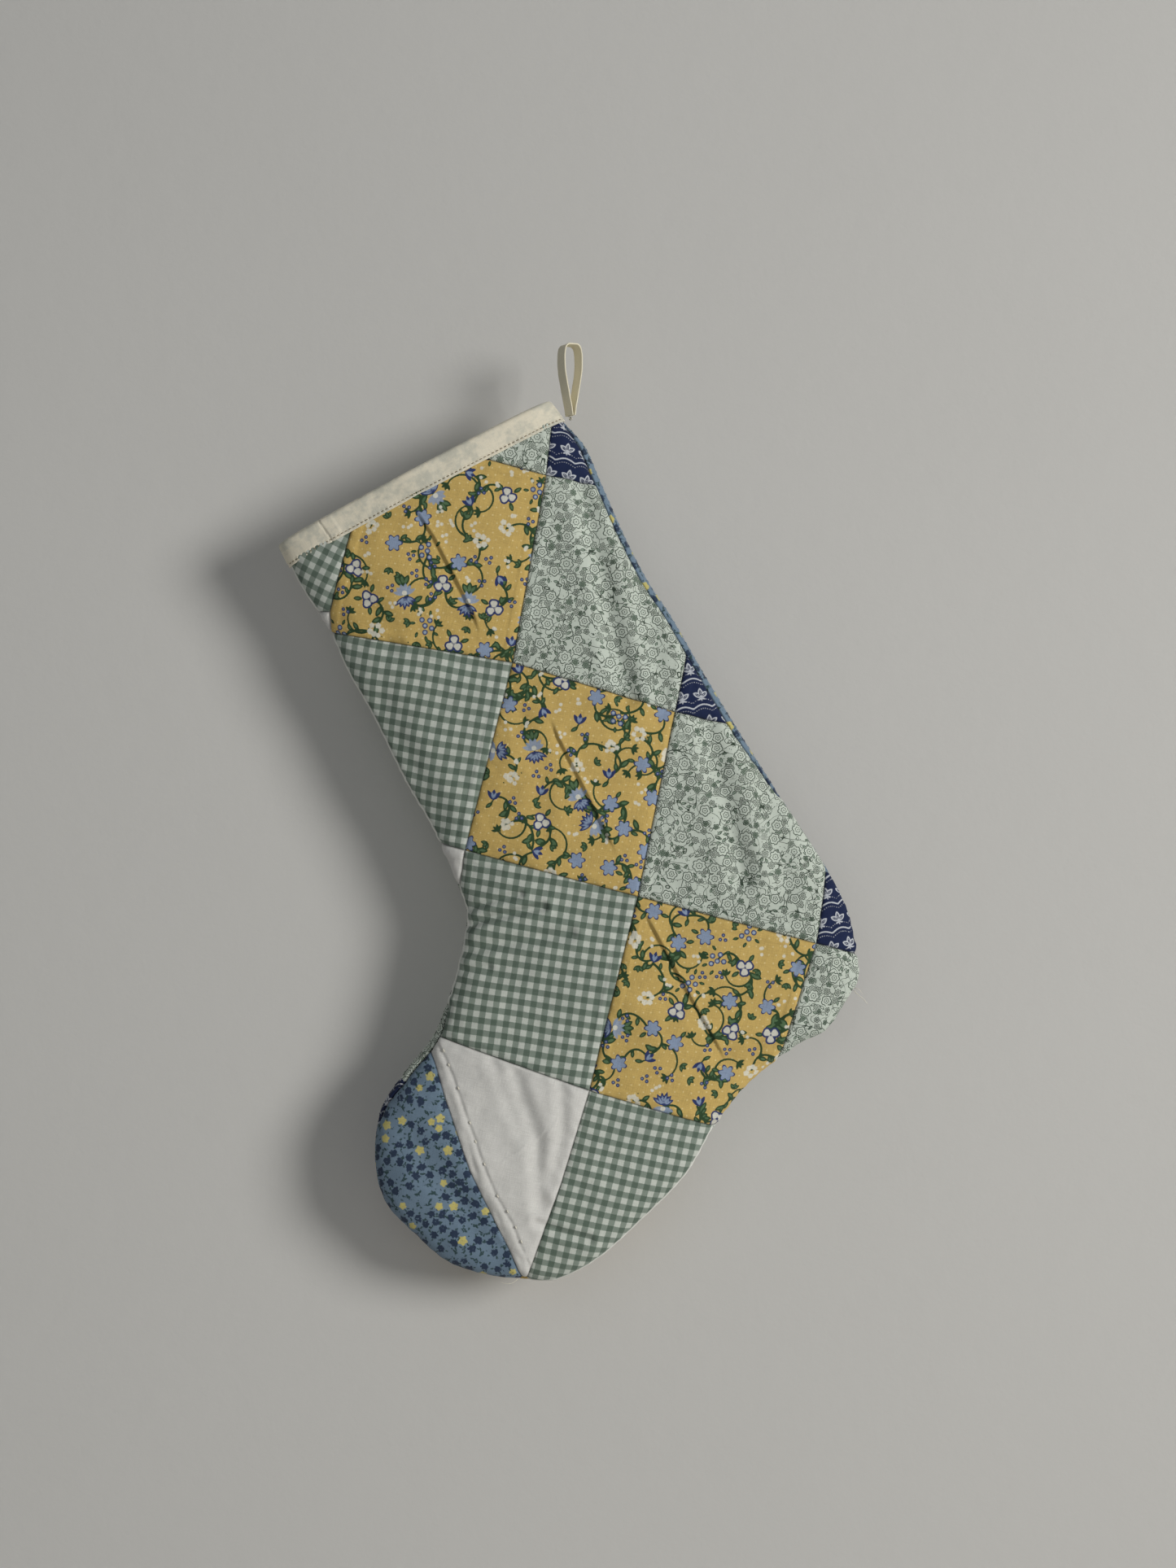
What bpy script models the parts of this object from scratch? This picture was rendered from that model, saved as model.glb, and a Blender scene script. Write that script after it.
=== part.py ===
"""Hanging patchwork stocking.

Two quilted panels (pieced patches, batting, lining) are joined round the side,
heel, sole and toe.  The mouth is bound with a folded cloth strip and the
stocking hangs, tilted, from a ribbon loop at its upper right corner.

Units: the tables are in millimetres, the meshes in metres.
Axes: +Z up, -Y out of the front face, +Y towards the wall, +X to the right when
facing the front.  The heel is on the right, the toe on the left.  The origin is
the loop's inner top face, where it sits on a peg.
"""

import math

import bmesh
import bpy
from mathutils import Vector
from mathutils.geometry import delaunay_2d_cdt

for old in list(bpy.data.objects):
    bpy.data.objects.remove(old, do_unlink=True)

# --------------------------------------------------------------------------
# Driving dimensions, millimetres and degrees
# --------------------------------------------------------------------------
MM = 0.001
FRONT, BACK = -1, 1        # sign of y on each face

EDGE_RADIUS = 5.0          # roundness of the stuffed edge along the side seam
PATCH_THICKNESS = 1.1      # cotton patch with its pressed seam allowances
BATTING_THICKNESS = 3.0
LINING_THICKNESS = 0.8
LAYER_GAP = 0.95           # air between cloth layers
SEAM_GAP = 0.3             # air between two neighbouring patches
BATTING_DEPTH = PATCH_THICKNESS + LAYER_GAP
LINING_DEPTH = BATTING_DEPTH + BATTING_THICKNESS + LAYER_GAP

BATTING_SETBACK = 11.5     # batting stops short of the side seam
BATTING_FEATHER = 1.2      # how far the batting's outer face sinks at its edge
FEATHER_INNER_SHARE = 0.4  # share of that by which its inner face rises
LINING_SETBACK = 13.0      # the lining stops further in

FRONT_INSET = 3.3          # most that the front panel's edge is drawn in
FRONT_INSET_LEAST = 0.012
MIN_TURN = 0.8             # back cloth turned over by less than this is left out

CUFF_ANGLE = 28.0          # tilt of the mouth above horizontal
CUFF_LEFT = (-153.0, -105.3)
CUFF_RIGHT = (-16.7, -33.8)
BINDING_DEPTH = 14.5
BINDING_THICKNESS = 1.2    # outer leg
BINDING_INNER_THICKNESS = 1.0
BINDING_LIFT = 0.65        # air between the outer leg and the patches
BINDING_FOLD = 1.5         # cloth thickness over the raw edge
BINDING_INNER_DEPTH = 7.7  # depth of the inner leg below the outer face
BINDING_INNER_REACH = 16.0 # the inner leg closes up within this of the side seam
TOPSTITCH_RISE = 1.6       # topstitch above the binding's lower edge
TOPSTITCH_LIFT = 0.3       # air between the topstitch and the binding
TOP_CLEARANCE = BINDING_FOLD + 0.35   # the panels and layers stop this far below the cuff top

RIBBON_WIDTH = 10.0
RIBBON_THICKNESS = 0.9
RIBBON_TURN = 25.0         # the loop is turned about the vertical
SEAT_HALF_WIDTH = 2.4      # flat part of the loop that rests on the peg
TACK_AT = (0.4, -40.6)     # bar tack across the foot of the ribbon
TACK_RADIUS = 0.9
TACK_LENGTH = 5.0
TACK_RINGS, TACK_SIDES = 7, 10

ANKLE_POINT = (37.4, -305.6)
ANKLE_ANGLE = 14.8         # the ankle seam runs down to the right
FOLD_AXIS_Y = -18.2        # the panel hinges sit just in front of the front face

THREAD_RADIUS = 0.45
TAIL_RADIUS = 0.3
TAIL_Y = -0.6
SEAM_THREAD_SETBACK = 4.0
SEAM_THREAD_STEP = 7.0
SEAM_THREAD_ANKLE_GAP = 1.2   # the threads stop this far each side of the ankle seam
STITCH_LIFT = 0.3             # air between the toe stitch and the patches

# Outline control points (x, z), going down the back edge, round the heel, along
# the sole, round the toe and up over the instep to the cuff.
BACK_EDGE = [(-16.0, -26.0), (-9.5, -34.7), (-4.0, -42.0), (2.0, -49.0), (8.0, -56.5),
             (17.5, -78.0), (32.0, -110.5), (44.0, -133.0), (55.0, -149.5),
             (75.5, -185.0), (101.5, -227.5), (126.5, -266.0), (142.5, -291.0)]
HEEL = [(153.5, -313.0), (159.0, -337.0), (160.0, -351.5), (154.5, -361.5),
        (142.0, -380.0), (128.5, -387.0)]
SOLE = [(115.5, -396.0), (96.0, -412.5), (78.5, -436.5), (64.0, -460.5),
        (39.5, -485.5), (16.0, -506.5), (-1.5, -516.5), (-12.0, -519.5)]
TOE = [(-26.0, -518.5), (-44.5, -516.0), (-67.5, -508.5), (-86.0, -493.0),
       (-101.5, -476.5), (-107.5, -456.0), (-105.0, -426.0), (-91.5, -404.0)]
INSTEP = [(-75.5, -384.0), (-65.5, -358.0), (-58.0, -327.5), (-57.0, -315.0),
          (-63.0, -297.5), (-77.5, -265.5)]
FRONT_EDGE = [(-90.0, -244.0), (-110.5, -203.0), (-124.0, -179.0), (-132.0, -161.0),
              (-146.5, -138.0), (-154.5, -123.5), (-159.8, -113.0), (-165.0, -103.0)]
OUTLINE = BACK_EDGE + HEEL + SOLE + TOE + INSTEP + FRONT_EDGE

# Mesh spacing
RIM_STEP = (6.0, 17.0)     # least and greatest spacing along the outline
RIM_BEND = 0.42            # turn, in radians, between two outline points
RIM_ROWS = (2.5, 8.0, 16.0, 28.0, 46.0)   # rows of points inside the outline
LAYER_ROW_MARGIN = 3.0     # least distance from a layer's edge to its first row
LAYER_LONG_EDGE = 30.0     # layer edges longer than this are divided

# line_step: along seams and open edges.  rim_step: along the rows.
# field_step, field_start: grid in the middle, and its distance from the outline.
# clearance: least distance from a loose point to an edge.
PANEL_MESH = {"line_step": 16.0, "rim_step": 12.0, "field_step": 24.0,
              "field_start": 52.0, "clearance": 3.2}
LAYER_MESH = {"line_step": 22.0, "rim_step": 17.0, "field_step": 34.0,
              "field_start": 55.0, "clearance": 4.0}
POINT_SPACING = 3.6        # least distance between two loose points
SPACING_WINDOW = 60        # each is compared with this many before it
SLIVER_HEIGHT = 0.02       # flatter triangles are dropped

# --------------------------------------------------------------------------
# Plane geometry on (x, z) points
# --------------------------------------------------------------------------


def blend(start, end, share):
    return (start[0] + (end[0] - start[0]) * share, start[1] + (end[1] - start[1]) * share)


def distance(start, end):
    return math.hypot(start[0] - end[0], start[1] - end[1])


def closed_pairs(points):
    return zip(points, points[1:] + points[:1])


def smooth_curve(points, steps=8):
    """Centripetal Catmull-Rom curve through the control points."""
    padded = [blend(points[1], points[0], 2.0)] + points + [blend(points[-2], points[-1], 2.0)]
    curve = []
    for i in range(1, len(padded) - 2):
        before, start, end, after = padded[i - 1:i + 3]
        knot1 = distance(before, start) ** 0.5
        knot2 = knot1 + distance(start, end) ** 0.5
        knot3 = knot2 + distance(end, after) ** 0.5
        for k in range(steps):
            knot = knot1 + (knot2 - knot1) * k / steps
            first = blend(before, start, knot / knot1)
            second = blend(start, end, (knot - knot1) / (knot2 - knot1))
            third = blend(end, after, (knot - knot2) / (knot3 - knot2))
            lower = blend(first, second, knot / knot2)
            upper = blend(second, third, (knot - knot1) / (knot3 - knot1))
            curve.append(blend(lower, upper, (knot - knot1) / (knot2 - knot1)))
    curve.append(points[-1])
    return curve


def resample(curve, least, greatest):
    """Points along a curve, closer together where it bends."""
    last = len(curve) - 1
    spacing = []
    for i, here in enumerate(curve):
        before, after = curve[max(i - 4, 0)], curve[min(i + 4, last)]
        bend = 0.0
        if 0 < i < last:
            arriving = (here[0] - before[0], here[1] - before[1])
            leaving = (after[0] - here[0], after[1] - here[1])
            length_in, length_out = math.hypot(*arriving), math.hypot(*leaving)
            cosine = ((arriving[0] * leaving[0] + arriving[1] * leaving[1])
                      / max(length_in * length_out, 1e-9))
            angle = math.acos(max(-1.0, min(1.0, cosine)))
            bend = angle / max((length_in + length_out) / 2, 1e-9)
        spacing.append(max(least, min(greatest, RIM_BEND / max(bend, 1e-6))))
    kept, run = [curve[0]], 0.0
    for i in range(1, last + 1):
        run += distance(curve[i - 1], curve[i]) / spacing[i]
        if run >= 1.0 and i < last:
            kept.append(curve[i])
            run = 0.0
    kept.append(curve[-1])
    return kept


RIM = resample(smooth_curve(OUTLINE), *RIM_STEP)


def from_segment(point, start, end):
    """Offset of a point from the nearest point of a segment."""
    edge_x, edge_z = end[0] - start[0], end[1] - start[1]
    square = max(edge_x * edge_x + edge_z * edge_z, 1e-9)
    share = ((point[0] - start[0]) * edge_x + (point[1] - start[1]) * edge_z) / square
    share = max(0.0, min(1.0, share))
    return point[0] - start[0] - share * edge_x, point[1] - start[1] - share * edge_z


def rim_distance(point):
    """Distance from the side seam, and the unit direction into the stocking."""
    nearest = 1e9
    for start, end in zip(RIM, RIM[1:]):
        offset = from_segment(point, start, end)
        size = math.hypot(*offset)
        if size < nearest:
            nearest, away = size, offset
            edge = (end[0] - start[0], end[1] - start[1])
    length = math.hypot(*edge)
    inward = (edge[1] / length, -edge[0] / length)   # the outline runs clockwise
    if nearest > 1e-6:
        away = (away[0] / nearest, away[1] / nearest)
        if nearest > 1.0 or away[0] * inward[0] + away[1] * inward[1] > 0.5:
            inward = away
    return nearest, inward


def soft_distance(point):
    """Smooth stand-in for the distance from the seam, counting every part of it at once."""
    total = 0.0
    for start, end in zip(RIM, RIM[1:]):
        edge_x, edge_z = end[0] - start[0], end[1] - start[1]
        to_x, to_z = start[0] - point[0], start[1] - point[1]
        length = math.hypot(edge_x, edge_z)
        near = (to_x * edge_x + to_z * edge_z) / length
        far = near + length
        height = abs(to_x * edge_z - to_z * edge_x) / length
        if height < 1e-5:
            total += abs(1 / near - 1 / far) if near * far > 1e-12 else 1e9
        else:
            total += (math.atan(far / height) - math.atan(near / height)) / height
    return math.pi / total


def field(point):
    """Soft distance and its gradient."""
    rim, inward = rim_distance(point)
    if rim < 0.6:
        return rim, inward
    x, z = point
    soft = soft_distance(point)
    step = 0.1
    slope_x = soft_distance((x + step, z)) - soft_distance((x - step, z))
    slope_z = soft_distance((x, z + step)) - soft_distance((x, z - step))
    return min(soft, rim), (slope_x / (2 * step), slope_z / (2 * step))


def place(point, side, depth, known=None):
    """3D point at a depth under the outer face of one side; known is its field value."""
    soft, inward = known or field(point)
    half_thickness = EDGE_RADIUS * math.acosh(1.0 + soft / EDGE_RADIUS)
    reach = math.sqrt((soft + EDGE_RADIUS) ** 2 - EDGE_RADIUS ** 2)
    lean = EDGE_RADIUS / (soft + EDGE_RADIUS)
    rise = reach / (soft + EDGE_RADIUS)
    return (point[0] + depth * lean * inward[0],
            side * (half_thickness - depth * rise),
            point[1] + depth * lean * inward[1])


ALONG = (math.cos(math.radians(CUFF_ANGLE)), math.sin(math.radians(CUFF_ANGLE)))
DOWN = (ALONG[1], -ALONG[0])
CUFF_MIDDLE = blend(CUFF_LEFT, CUFF_RIGHT, 0.5)
ANKLE_DIR = (math.cos(math.radians(ANKLE_ANGLE)), -math.sin(math.radians(ANKLE_ANGLE)))


def below_cuff(point):
    return (point[0] - CUFF_MIDDLE[0]) * DOWN[0] + (point[1] - CUFF_MIDDLE[1]) * DOWN[1]


def below_ankle(point):
    return ((point[0] - ANKLE_POINT[0]) * ANKLE_DIR[1]
            - (point[1] - ANKLE_POINT[1]) * ANKLE_DIR[0])


def below_open_edge(point):
    return below_cuff(point) - TOP_CLEARANCE


def clip(polygon, keep):
    """The part of a polygon where keep(point) is positive; keep is linear."""
    kept = []
    for start, end in closed_pairs(polygon):
        at_start, at_end = keep(start), keep(end)
        if at_start >= 0:
            kept.append(start)
        if (at_start > 0 > at_end) or (at_start < 0 < at_end):
            kept.append(blend(start, end, at_start / (at_start - at_end)))
    return kept


def inside(polygon, point):
    x, z = point
    hit = False
    for start, end in closed_pairs(polygon):
        if (start[1] > z) != (end[1] > z):
            if x < start[0] + (end[0] - start[0]) * (z - start[1]) / (end[1] - start[1]):
                hit = not hit
    return hit


def moved_in(curve, i, amount):
    """Point i of a clockwise curve, moved square to it into the stocking."""
    before, after = curve[max(i - 1, 0)], curve[min(i + 1, len(curve) - 1)]
    length = distance(before, after)
    return (curve[i][0] + amount * (after[1] - before[1]) / length,
            curve[i][1] - amount * (after[0] - before[0]) / length)


def inset_rim(inset_at):
    """The outline moved in, by a distance that may vary along it."""
    kept = []
    for i, rim_point in enumerate(RIM):
        inset = inset_at(rim_point)
        point = moved_in(RIM, i, inset)
        if rim_distance(point)[0] > inset - 0.25:
            if not kept or distance(kept[-1], point) > 1.0:
                kept.append(point)
    return kept


def parallel_line(setback, step):
    """The outline moved in by a wide setback, without the folds that makes at tight corners."""
    dense = smooth_curve(OUTLINE, 4)
    kept = []
    for i in range(len(dense)):
        point = moved_in(dense, i, setback)
        clear = all(distance(point, other) > setback - 0.12 for other in dense)
        if clear and (not kept or distance(kept[-1], point) > step):
            kept.append(point)
    return kept


# --------------------------------------------------------------------------
# Seams of the two pieced panels
# --------------------------------------------------------------------------
# Steps (x, z) of the regular grid on the back, from one row or column line to the next
ROW_PITCH = (-23.1, -103.2)
COLUMN_PITCH = (97.0, -25.6)


def row_point(row, column):
    """Crossing of two grid lines; the ankle point is on row 2, column 1."""
    return tuple(ANKLE_POINT[i] + (row - 2) * ROW_PITCH[i] + (column - 1) * COLUMN_PITCH[i]
                 for i in (0, 1))


def ankle_at(x):
    return (x, ANKLE_POINT[1] + (x - ANKLE_POINT[0]) * ANKLE_DIR[1] / ANKLE_DIR[0])


GINGHAM_CUFF_BOTTOM = -148.5   # z limits of three patches at the left edge of the front
UPPER_LINEN_BOTTOM = -175.0
LOWER_LINEN_BOTTOM = -330.0

# Seam lines (x, z).  The front crossings wander a few millimetres off a regular grid.
FRONT_SEAMS = {
    "row0": [(-105.0, -49.0), (-13.0, -73.5), (82.5, -89.0)],
    "row1_left": [(-170.0, GINGHAM_CUFF_BOTTOM), (-132.9, GINGHAM_CUFF_BOTTOM)],
    "row1": [(-132.9, -160.0), (-31.5, -177.0), (58.0, -204.0), (153.5, -223.5)],
    "ankle": [ankle_at(x) for x in (-120.0, -58.0, 37.4, 136.0, 190.0)],
    "row3": [(-77.0, -381.8), (10.8, -412.5), (102.0, -440.0)],
    "column_left": [(-105.0, -49.0), (-132.9, GINGHAM_CUFF_BOTTOM), (-132.9, -160.0),
                    (-133.5, -172.0)],
    "column0": [(-2.3, 29.0), (-13.0, -73.5), (-31.5, -177.0), ankle_at(-58.0),
                (-75.5, -382.3)],
    "column1": [(82.5, -89.0), (58.0, -204.0), ankle_at(37.4), (10.8, -412.5),
                (-4.5, -463.0), (-25.5, -522.0)],
    "column2": [(153.5, -223.5), ankle_at(136.0), (102.0, -440.0)],
    "toe": [(-81.0, -384.0), (-75.0, -397.0), (-68.5, -418.0), (-55.0, -457.0),
            (-34.5, -499.0), (-23.5, -524.0)],
}

BACK_SEAMS = {
    "row0": [row_point(0.15, -2.0), row_point(0.15, 0.62)],
    "row1": [row_point(1.1, -2.0), row_point(1.1, 1.28)],
    "ankle": FRONT_SEAMS["ankle"],
    "row3": [row_point(3.25, -2.0), row_point(3.25, 3.0)],
    "strip": [(-30.0, -22.0), (-14.0, -62.0), (30.0, -170.0), (88.0, -262.0), ankle_at(112.0)],
    "column_left": [row_point(-1.5, -0.55), row_point(2.0, -0.55)],
    "column0": [row_point(-0.6, 0.42), row_point(4.6, 0.42)],
    "column1": [row_point(2.0, 1.45), row_point(4.6, 1.45)],
    "column2": [row_point(2.0, 2.02), row_point(3.6, 2.02)],
}


def value_at(pairs, key):
    """Value at a key on a line of (key, value) pairs; the end segments carry on."""
    pairs = sorted(pairs)
    for start, end in zip(pairs, pairs[1:]):
        if key <= end[0]:
            break
    return start[1] + (end[1] - start[1]) * (key - start[0]) / max(end[0] - start[0], 1e-9)


def seam_tests(seams, point):
    """Two tests by seam name: is the point above a row, is it left of a column."""
    x, z = point

    def above(name):
        return z > value_at(seams[name], x)

    def left_of(name):
        return x < value_at([(seam_z, seam_x) for seam_x, seam_z in seams[name]], z)

    return above, left_of


def front_patch_at(point):
    """Name of the front patch that covers a point."""
    z = point[1]
    above, left_of = seam_tests(FRONT_SEAMS, point)
    if above("ankle"):
        if left_of("column_left") and z > UPPER_LINEN_BOTTOM:
            return ("front_gingham_cuff" if z > GINGHAM_CUFF_BOTTOM
                    else "front_linen_instep_upper")
        if above("row1"):
            if left_of("column0"):
                return "front_sage_cuff" if above("row0") else "front_yellow_cuff"
            if above("row0"):
                return "front_navy_loop_corner"
            return "front_sage_upper_leg" if left_of("column1") else "front_navy_calf"
        if left_of("column0"):
            return "front_gingham_mid_leg"
        if left_of("column1"):
            return "front_yellow_mid_leg"
        return "front_sage_calf" if left_of("column2") else "front_navy_heel"
    if above("row3"):
        if left_of("column0"):
            return ("front_linen_instep_lower" if z > LOWER_LINEN_BOTTOM
                    else "front_gingham_instep")
        if left_of("column1"):
            return "front_gingham_instep"
        return "front_yellow_heel" if left_of("column2") else "front_sage_heel"
    if not left_of("column1"):
        return "front_gingham_sole" if left_of("column2") else "front_sage_heel"
    return "front_blue_toe" if left_of("toe") else "front_linen_toe"


def back_patch_at(point):
    """Name of the back patch that covers a point."""
    above, left_of = seam_tests(BACK_SEAMS, point)
    if above("ankle"):
        if not left_of("strip"):
            return "back_blue_calf_strip"
        if above("row0"):
            return "back_gingham_cuff" if left_of("column_left") else "back_yellow_cuff"
        if above("row1"):
            if left_of("column_left"):
                return "back_linen_upper_leg"
            return "back_sage_upper_leg" if left_of("column0") else "back_navy_upper_leg"
        return "back_gingham_mid_leg" if left_of("column0") else "back_yellow_mid_leg"
    if above("row3"):
        if left_of("column0"):
            return "back_sage_instep"
        if left_of("column1"):
            return "back_linen_foot"
        return "back_gingham_heel" if left_of("column2") else "back_navy_heel"
    if left_of("column0"):
        return "back_navy_toe"
    return "back_yellow_sole" if left_of("column1") else "back_sage_sole"


def ramp(z, start, full, fade, end):
    """Going down: 0 at start, 1 from full to fade, 0 at end."""
    if z >= start or z <= end:
        return 0.0
    if z > full:
        return (start - z) / (start - full)
    if z < fade:
        return (z - end) / (fade - end)
    return 1.0


def front_inset(point):
    """How far the front panel's edge is drawn in from the outline at a point of it."""
    x, z = point
    back = ramp(z, start=-44.0, full=-62.0, fade=-212.0, end=-252.0) if x > -10.0 else 0.0
    instep = ramp(z, start=-366.0, full=-380.0, fade=-408.0, end=-432.0) if x < -50.0 else 0.0
    return max(FRONT_INSET_LEAST, FRONT_INSET * max(back, instep))


# --------------------------------------------------------------------------
# Objects and materials
# --------------------------------------------------------------------------
COLLECTION = bpy.context.scene.collection
PIVOTS = {}   # name: (empty, its place in millimetres)
LEG_PIVOT = {FRONT: "pivot_mouth", BACK: "pivot_lift"}
PIVOT_DISPLAY_SIZE = 0.02   # metres

CLOTH_ROUGHNESS = 0.85
CLOTHS = {
    "yellow": (0.60, 0.42, 0.13), "sage": (0.60, 0.64, 0.60), "navy": (0.025, 0.035, 0.12),
    "blue": (0.14, 0.22, 0.37), "gingham": (0.33, 0.39, 0.34), "linen": (0.62, 0.60, 0.57),
    "batting": (0.80, 0.78, 0.72), "lining": (0.70, 0.66, 0.57),
    "binding": (0.74, 0.71, 0.60), "ribbon": (0.82, 0.78, 0.66), "thread": (0.78, 0.75, 0.66),
}


def local_point(point, parent):
    """Point in metres, measured from its parent pivot."""
    base = PIVOTS[parent][1] if parent else (0.0, 0.0, 0.0)
    return [(point[i] - base[i]) * MM for i in range(3)]


def pivot(name, location, parent=None):
    """Empty on a joint's axis; the pieces that move there are its children."""
    empty = bpy.data.objects.new(name, None)
    empty.empty_display_size = PIVOT_DISPLAY_SIZE
    COLLECTION.objects.link(empty)
    if parent:
        empty.parent = PIVOTS[parent][0]
    empty.location = local_point(location, parent)
    PIVOTS[name] = (empty, location)


def cloth_material(cloth):
    name = "cloth_" + cloth
    found = bpy.data.materials.get(name)
    if found:
        return found
    made = bpy.data.materials.new(name)
    made.use_nodes = True
    shader = made.node_tree.nodes["Principled BSDF"]
    shader.inputs["Base Color"].default_value = (*CLOTHS[cloth], 1.0)
    shader.inputs["Roughness"].default_value = CLOTH_ROUGHNESS
    shader.inputs["Metallic"].default_value = 0.0
    return made


def add_piece(name, points, faces, cloth, parent=None):
    """Closed solid from points in millimetres; faces are turned to point out."""
    solid = bmesh.new()
    verts = [solid.verts.new(local_point(point, parent)) for point in points]
    for face in faces:
        solid.faces.new([verts[i] for i in face])
    loose = [vert for vert in solid.verts if not vert.link_faces]
    bmesh.ops.delete(solid, geom=loose, context="VERTS")
    bmesh.ops.recalc_face_normals(solid, faces=solid.faces[:])
    if solid.calc_volume(signed=True) < 0:
        bmesh.ops.reverse_faces(solid, faces=solid.faces[:])
    mesh = bpy.data.meshes.new(name)
    solid.to_mesh(mesh)
    solid.free()
    mesh.materials.append(cloth_material(cloth))
    piece = bpy.data.objects.new(name, mesh)
    COLLECTION.objects.link(piece)
    if parent:
        piece.parent = PIVOTS[parent][0]


def band_faces(rings, size, quads=False):
    """Faces between neighbouring rings of points."""
    faces = []
    for i in range(rings - 1):
        for k in range(size):
            here, beside = i * size + k, i * size + (k + 1) % size
            if quads:
                faces.append((here, beside, beside + size, here + size))
            else:
                faces += [(here, beside, beside + size), (here, beside + size, here + size)]
    return faces


def end_caps(rings, size):
    return [tuple(range(size - 1, -1, -1)), tuple((rings - 1) * size + k for k in range(size))]


def sweep_thread(name, path, parent, radius=THREAD_RADIUS, up=(0.0, 1.0, 0.0)):
    """Thread of square section carried along a path, ends closed."""
    sides = 4
    angles = [2 * math.pi * (k + 0.5) / sides for k in range(sides)]
    section = [(radius * math.cos(angle), radius * math.sin(angle)) for angle in angles]
    points = []
    last = len(path) - 1
    for i, here in enumerate(path):
        before, after = Vector(path[max(i - 1, 0)]), Vector(path[min(i + 1, last)])
        along = (after - before).normalized()
        across = along.cross(Vector(up)).normalized()
        over = across.cross(along).normalized()
        stretch = 1.0   # keeps the width at a bend
        if 0 < i < last:
            arriving = (Vector(here) - before).normalized()
            leaving = (after - Vector(here)).normalized()
            half_cosine = math.sqrt(max(0.0, (1 + arriving.dot(leaving)) / 2))
            stretch = 1.0 / max(0.5, half_cosine)
        points += [tuple(Vector(here) + across * wide * stretch + over * high)
                   for wide, high in section]
    faces = band_faces(len(path), sides) + end_caps(len(path), sides)
    add_piece(name, points, faces, "thread", parent)


# --------------------------------------------------------------------------
# Meshing in the plane
# --------------------------------------------------------------------------


def divide(line, step):
    """Line with extra points: never further apart than step, and one at each rim row."""
    divided = [line[0]]
    for start, end in zip(line, line[1:]):
        length = distance(start, end)
        count = max(1, int(length))
        run = 0.0
        before = rim_distance(start)[0]
        for i in range(1, count):
            point = blend(start, end, i / count)
            run += length / count
            now = rim_distance(point)[0]
            crossed = any((before - row) * (now - row) <= 0 for row in RIM_ROWS)
            before = now
            wanted = run >= step or (crossed and run > 1.4)
            if wanted and length * (1 - i / count) > 1.6:
                divided.append(point)
                run = 0.0
        divided.append(end)
    return divided


def divide_edges(polygon, step, chosen):
    """Polygon with the edges divided for which chosen(start, end) holds."""
    divided = []
    for start, end in closed_pairs(polygon):
        divided.append(start)
        if chosen(start, end):
            divided.extend(divide([start, end], step)[1:-1])
    return divided


def divide_open_edge(polygon, step):
    """Polygon with extra points along its open edge at the cuff."""
    def chosen(start, end):
        on_top = abs(below_open_edge(start)) < 1e-6 and abs(below_open_edge(end)) < 1e-6
        return on_top and distance(start, end) > 2 * step

    return divide_edges(polygon, step, chosen)


def field_points(step, start):
    """Staggered grid over the middle, further than start from the outline."""
    points = []
    for i in range(-14, 15):
        for j in range(-22, 4):
            point = (i * step + (j % 2) * step / 2, j * step * 0.87)
            if rim_distance(point)[0] > start:
                points.append(point)
    return points


def triangulate(polygon, lines, rows, spacing):
    """Triangles that fill a polygon, with given lines as edges and loose points inside."""
    points, edges = [], []
    for chain in [polygon] + lines:
        start = len(points)
        points.extend(chain)
        edges.extend((start + i, start + i + 1) for i in range(len(chain) - 1))
        if chain is polygon:
            edges.append((start + len(chain) - 1, start))
    segments = [(points[first], points[second]) for first, second in edges]

    loose = [point for row in rows for point in parallel_line(row, spacing["rim_step"])]
    loose += field_points(spacing["field_step"], spacing["field_start"])
    kept = []
    for point in loose:
        if not inside(polygon, point):
            continue
        if any(math.hypot(*from_segment(point, start, end)) < spacing["clearance"]
               for start, end in segments):
            continue
        if all(distance(point, other) >= POINT_SPACING for other in kept[-SPACING_WINDOW:]):
            kept.append(point)
    points.extend(kept)

    all_triangles, merge_distance = 0, 1e-4
    result = delaunay_2d_cdt([Vector(point) for point in points], edges, [],
                             all_triangles, merge_distance)
    verts = [(vert.x, vert.y) for vert in result[0]]
    tris = []
    for face in result[2]:
        corners = [verts[i] for i in face]
        centre = tuple((corners[0][i] + corners[1][i] + corners[2][i]) / 3 for i in (0, 1))
        longest = max(distance(start, end) for start, end in closed_pairs(corners))
        height = abs(twice_area(*corners)) / longest
        if inside(polygon, centre) and height > SLIVER_HEIGHT:
            tris.append(tuple(face))
    return verts, tris


def twice_area(first, second, third):
    return ((second[0] - first[0]) * (third[1] - first[1])
            - (third[0] - first[0]) * (second[1] - first[1]))


def boundary_loops(tris):
    """Closed vertex loops round a set of triangles."""
    edges = dict.fromkeys((tri[i], tri[(i + 1) % 3]) for tri in tris for i in range(3))
    following = {start: end for (start, end) in edges if (end, start) not in edges}
    loops = []
    while following:
        loop, here = [], next(iter(following))
        while here in following:
            loop.append(here)
            here = following.pop(here)
        loops.append(loop)
    return loops


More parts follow.
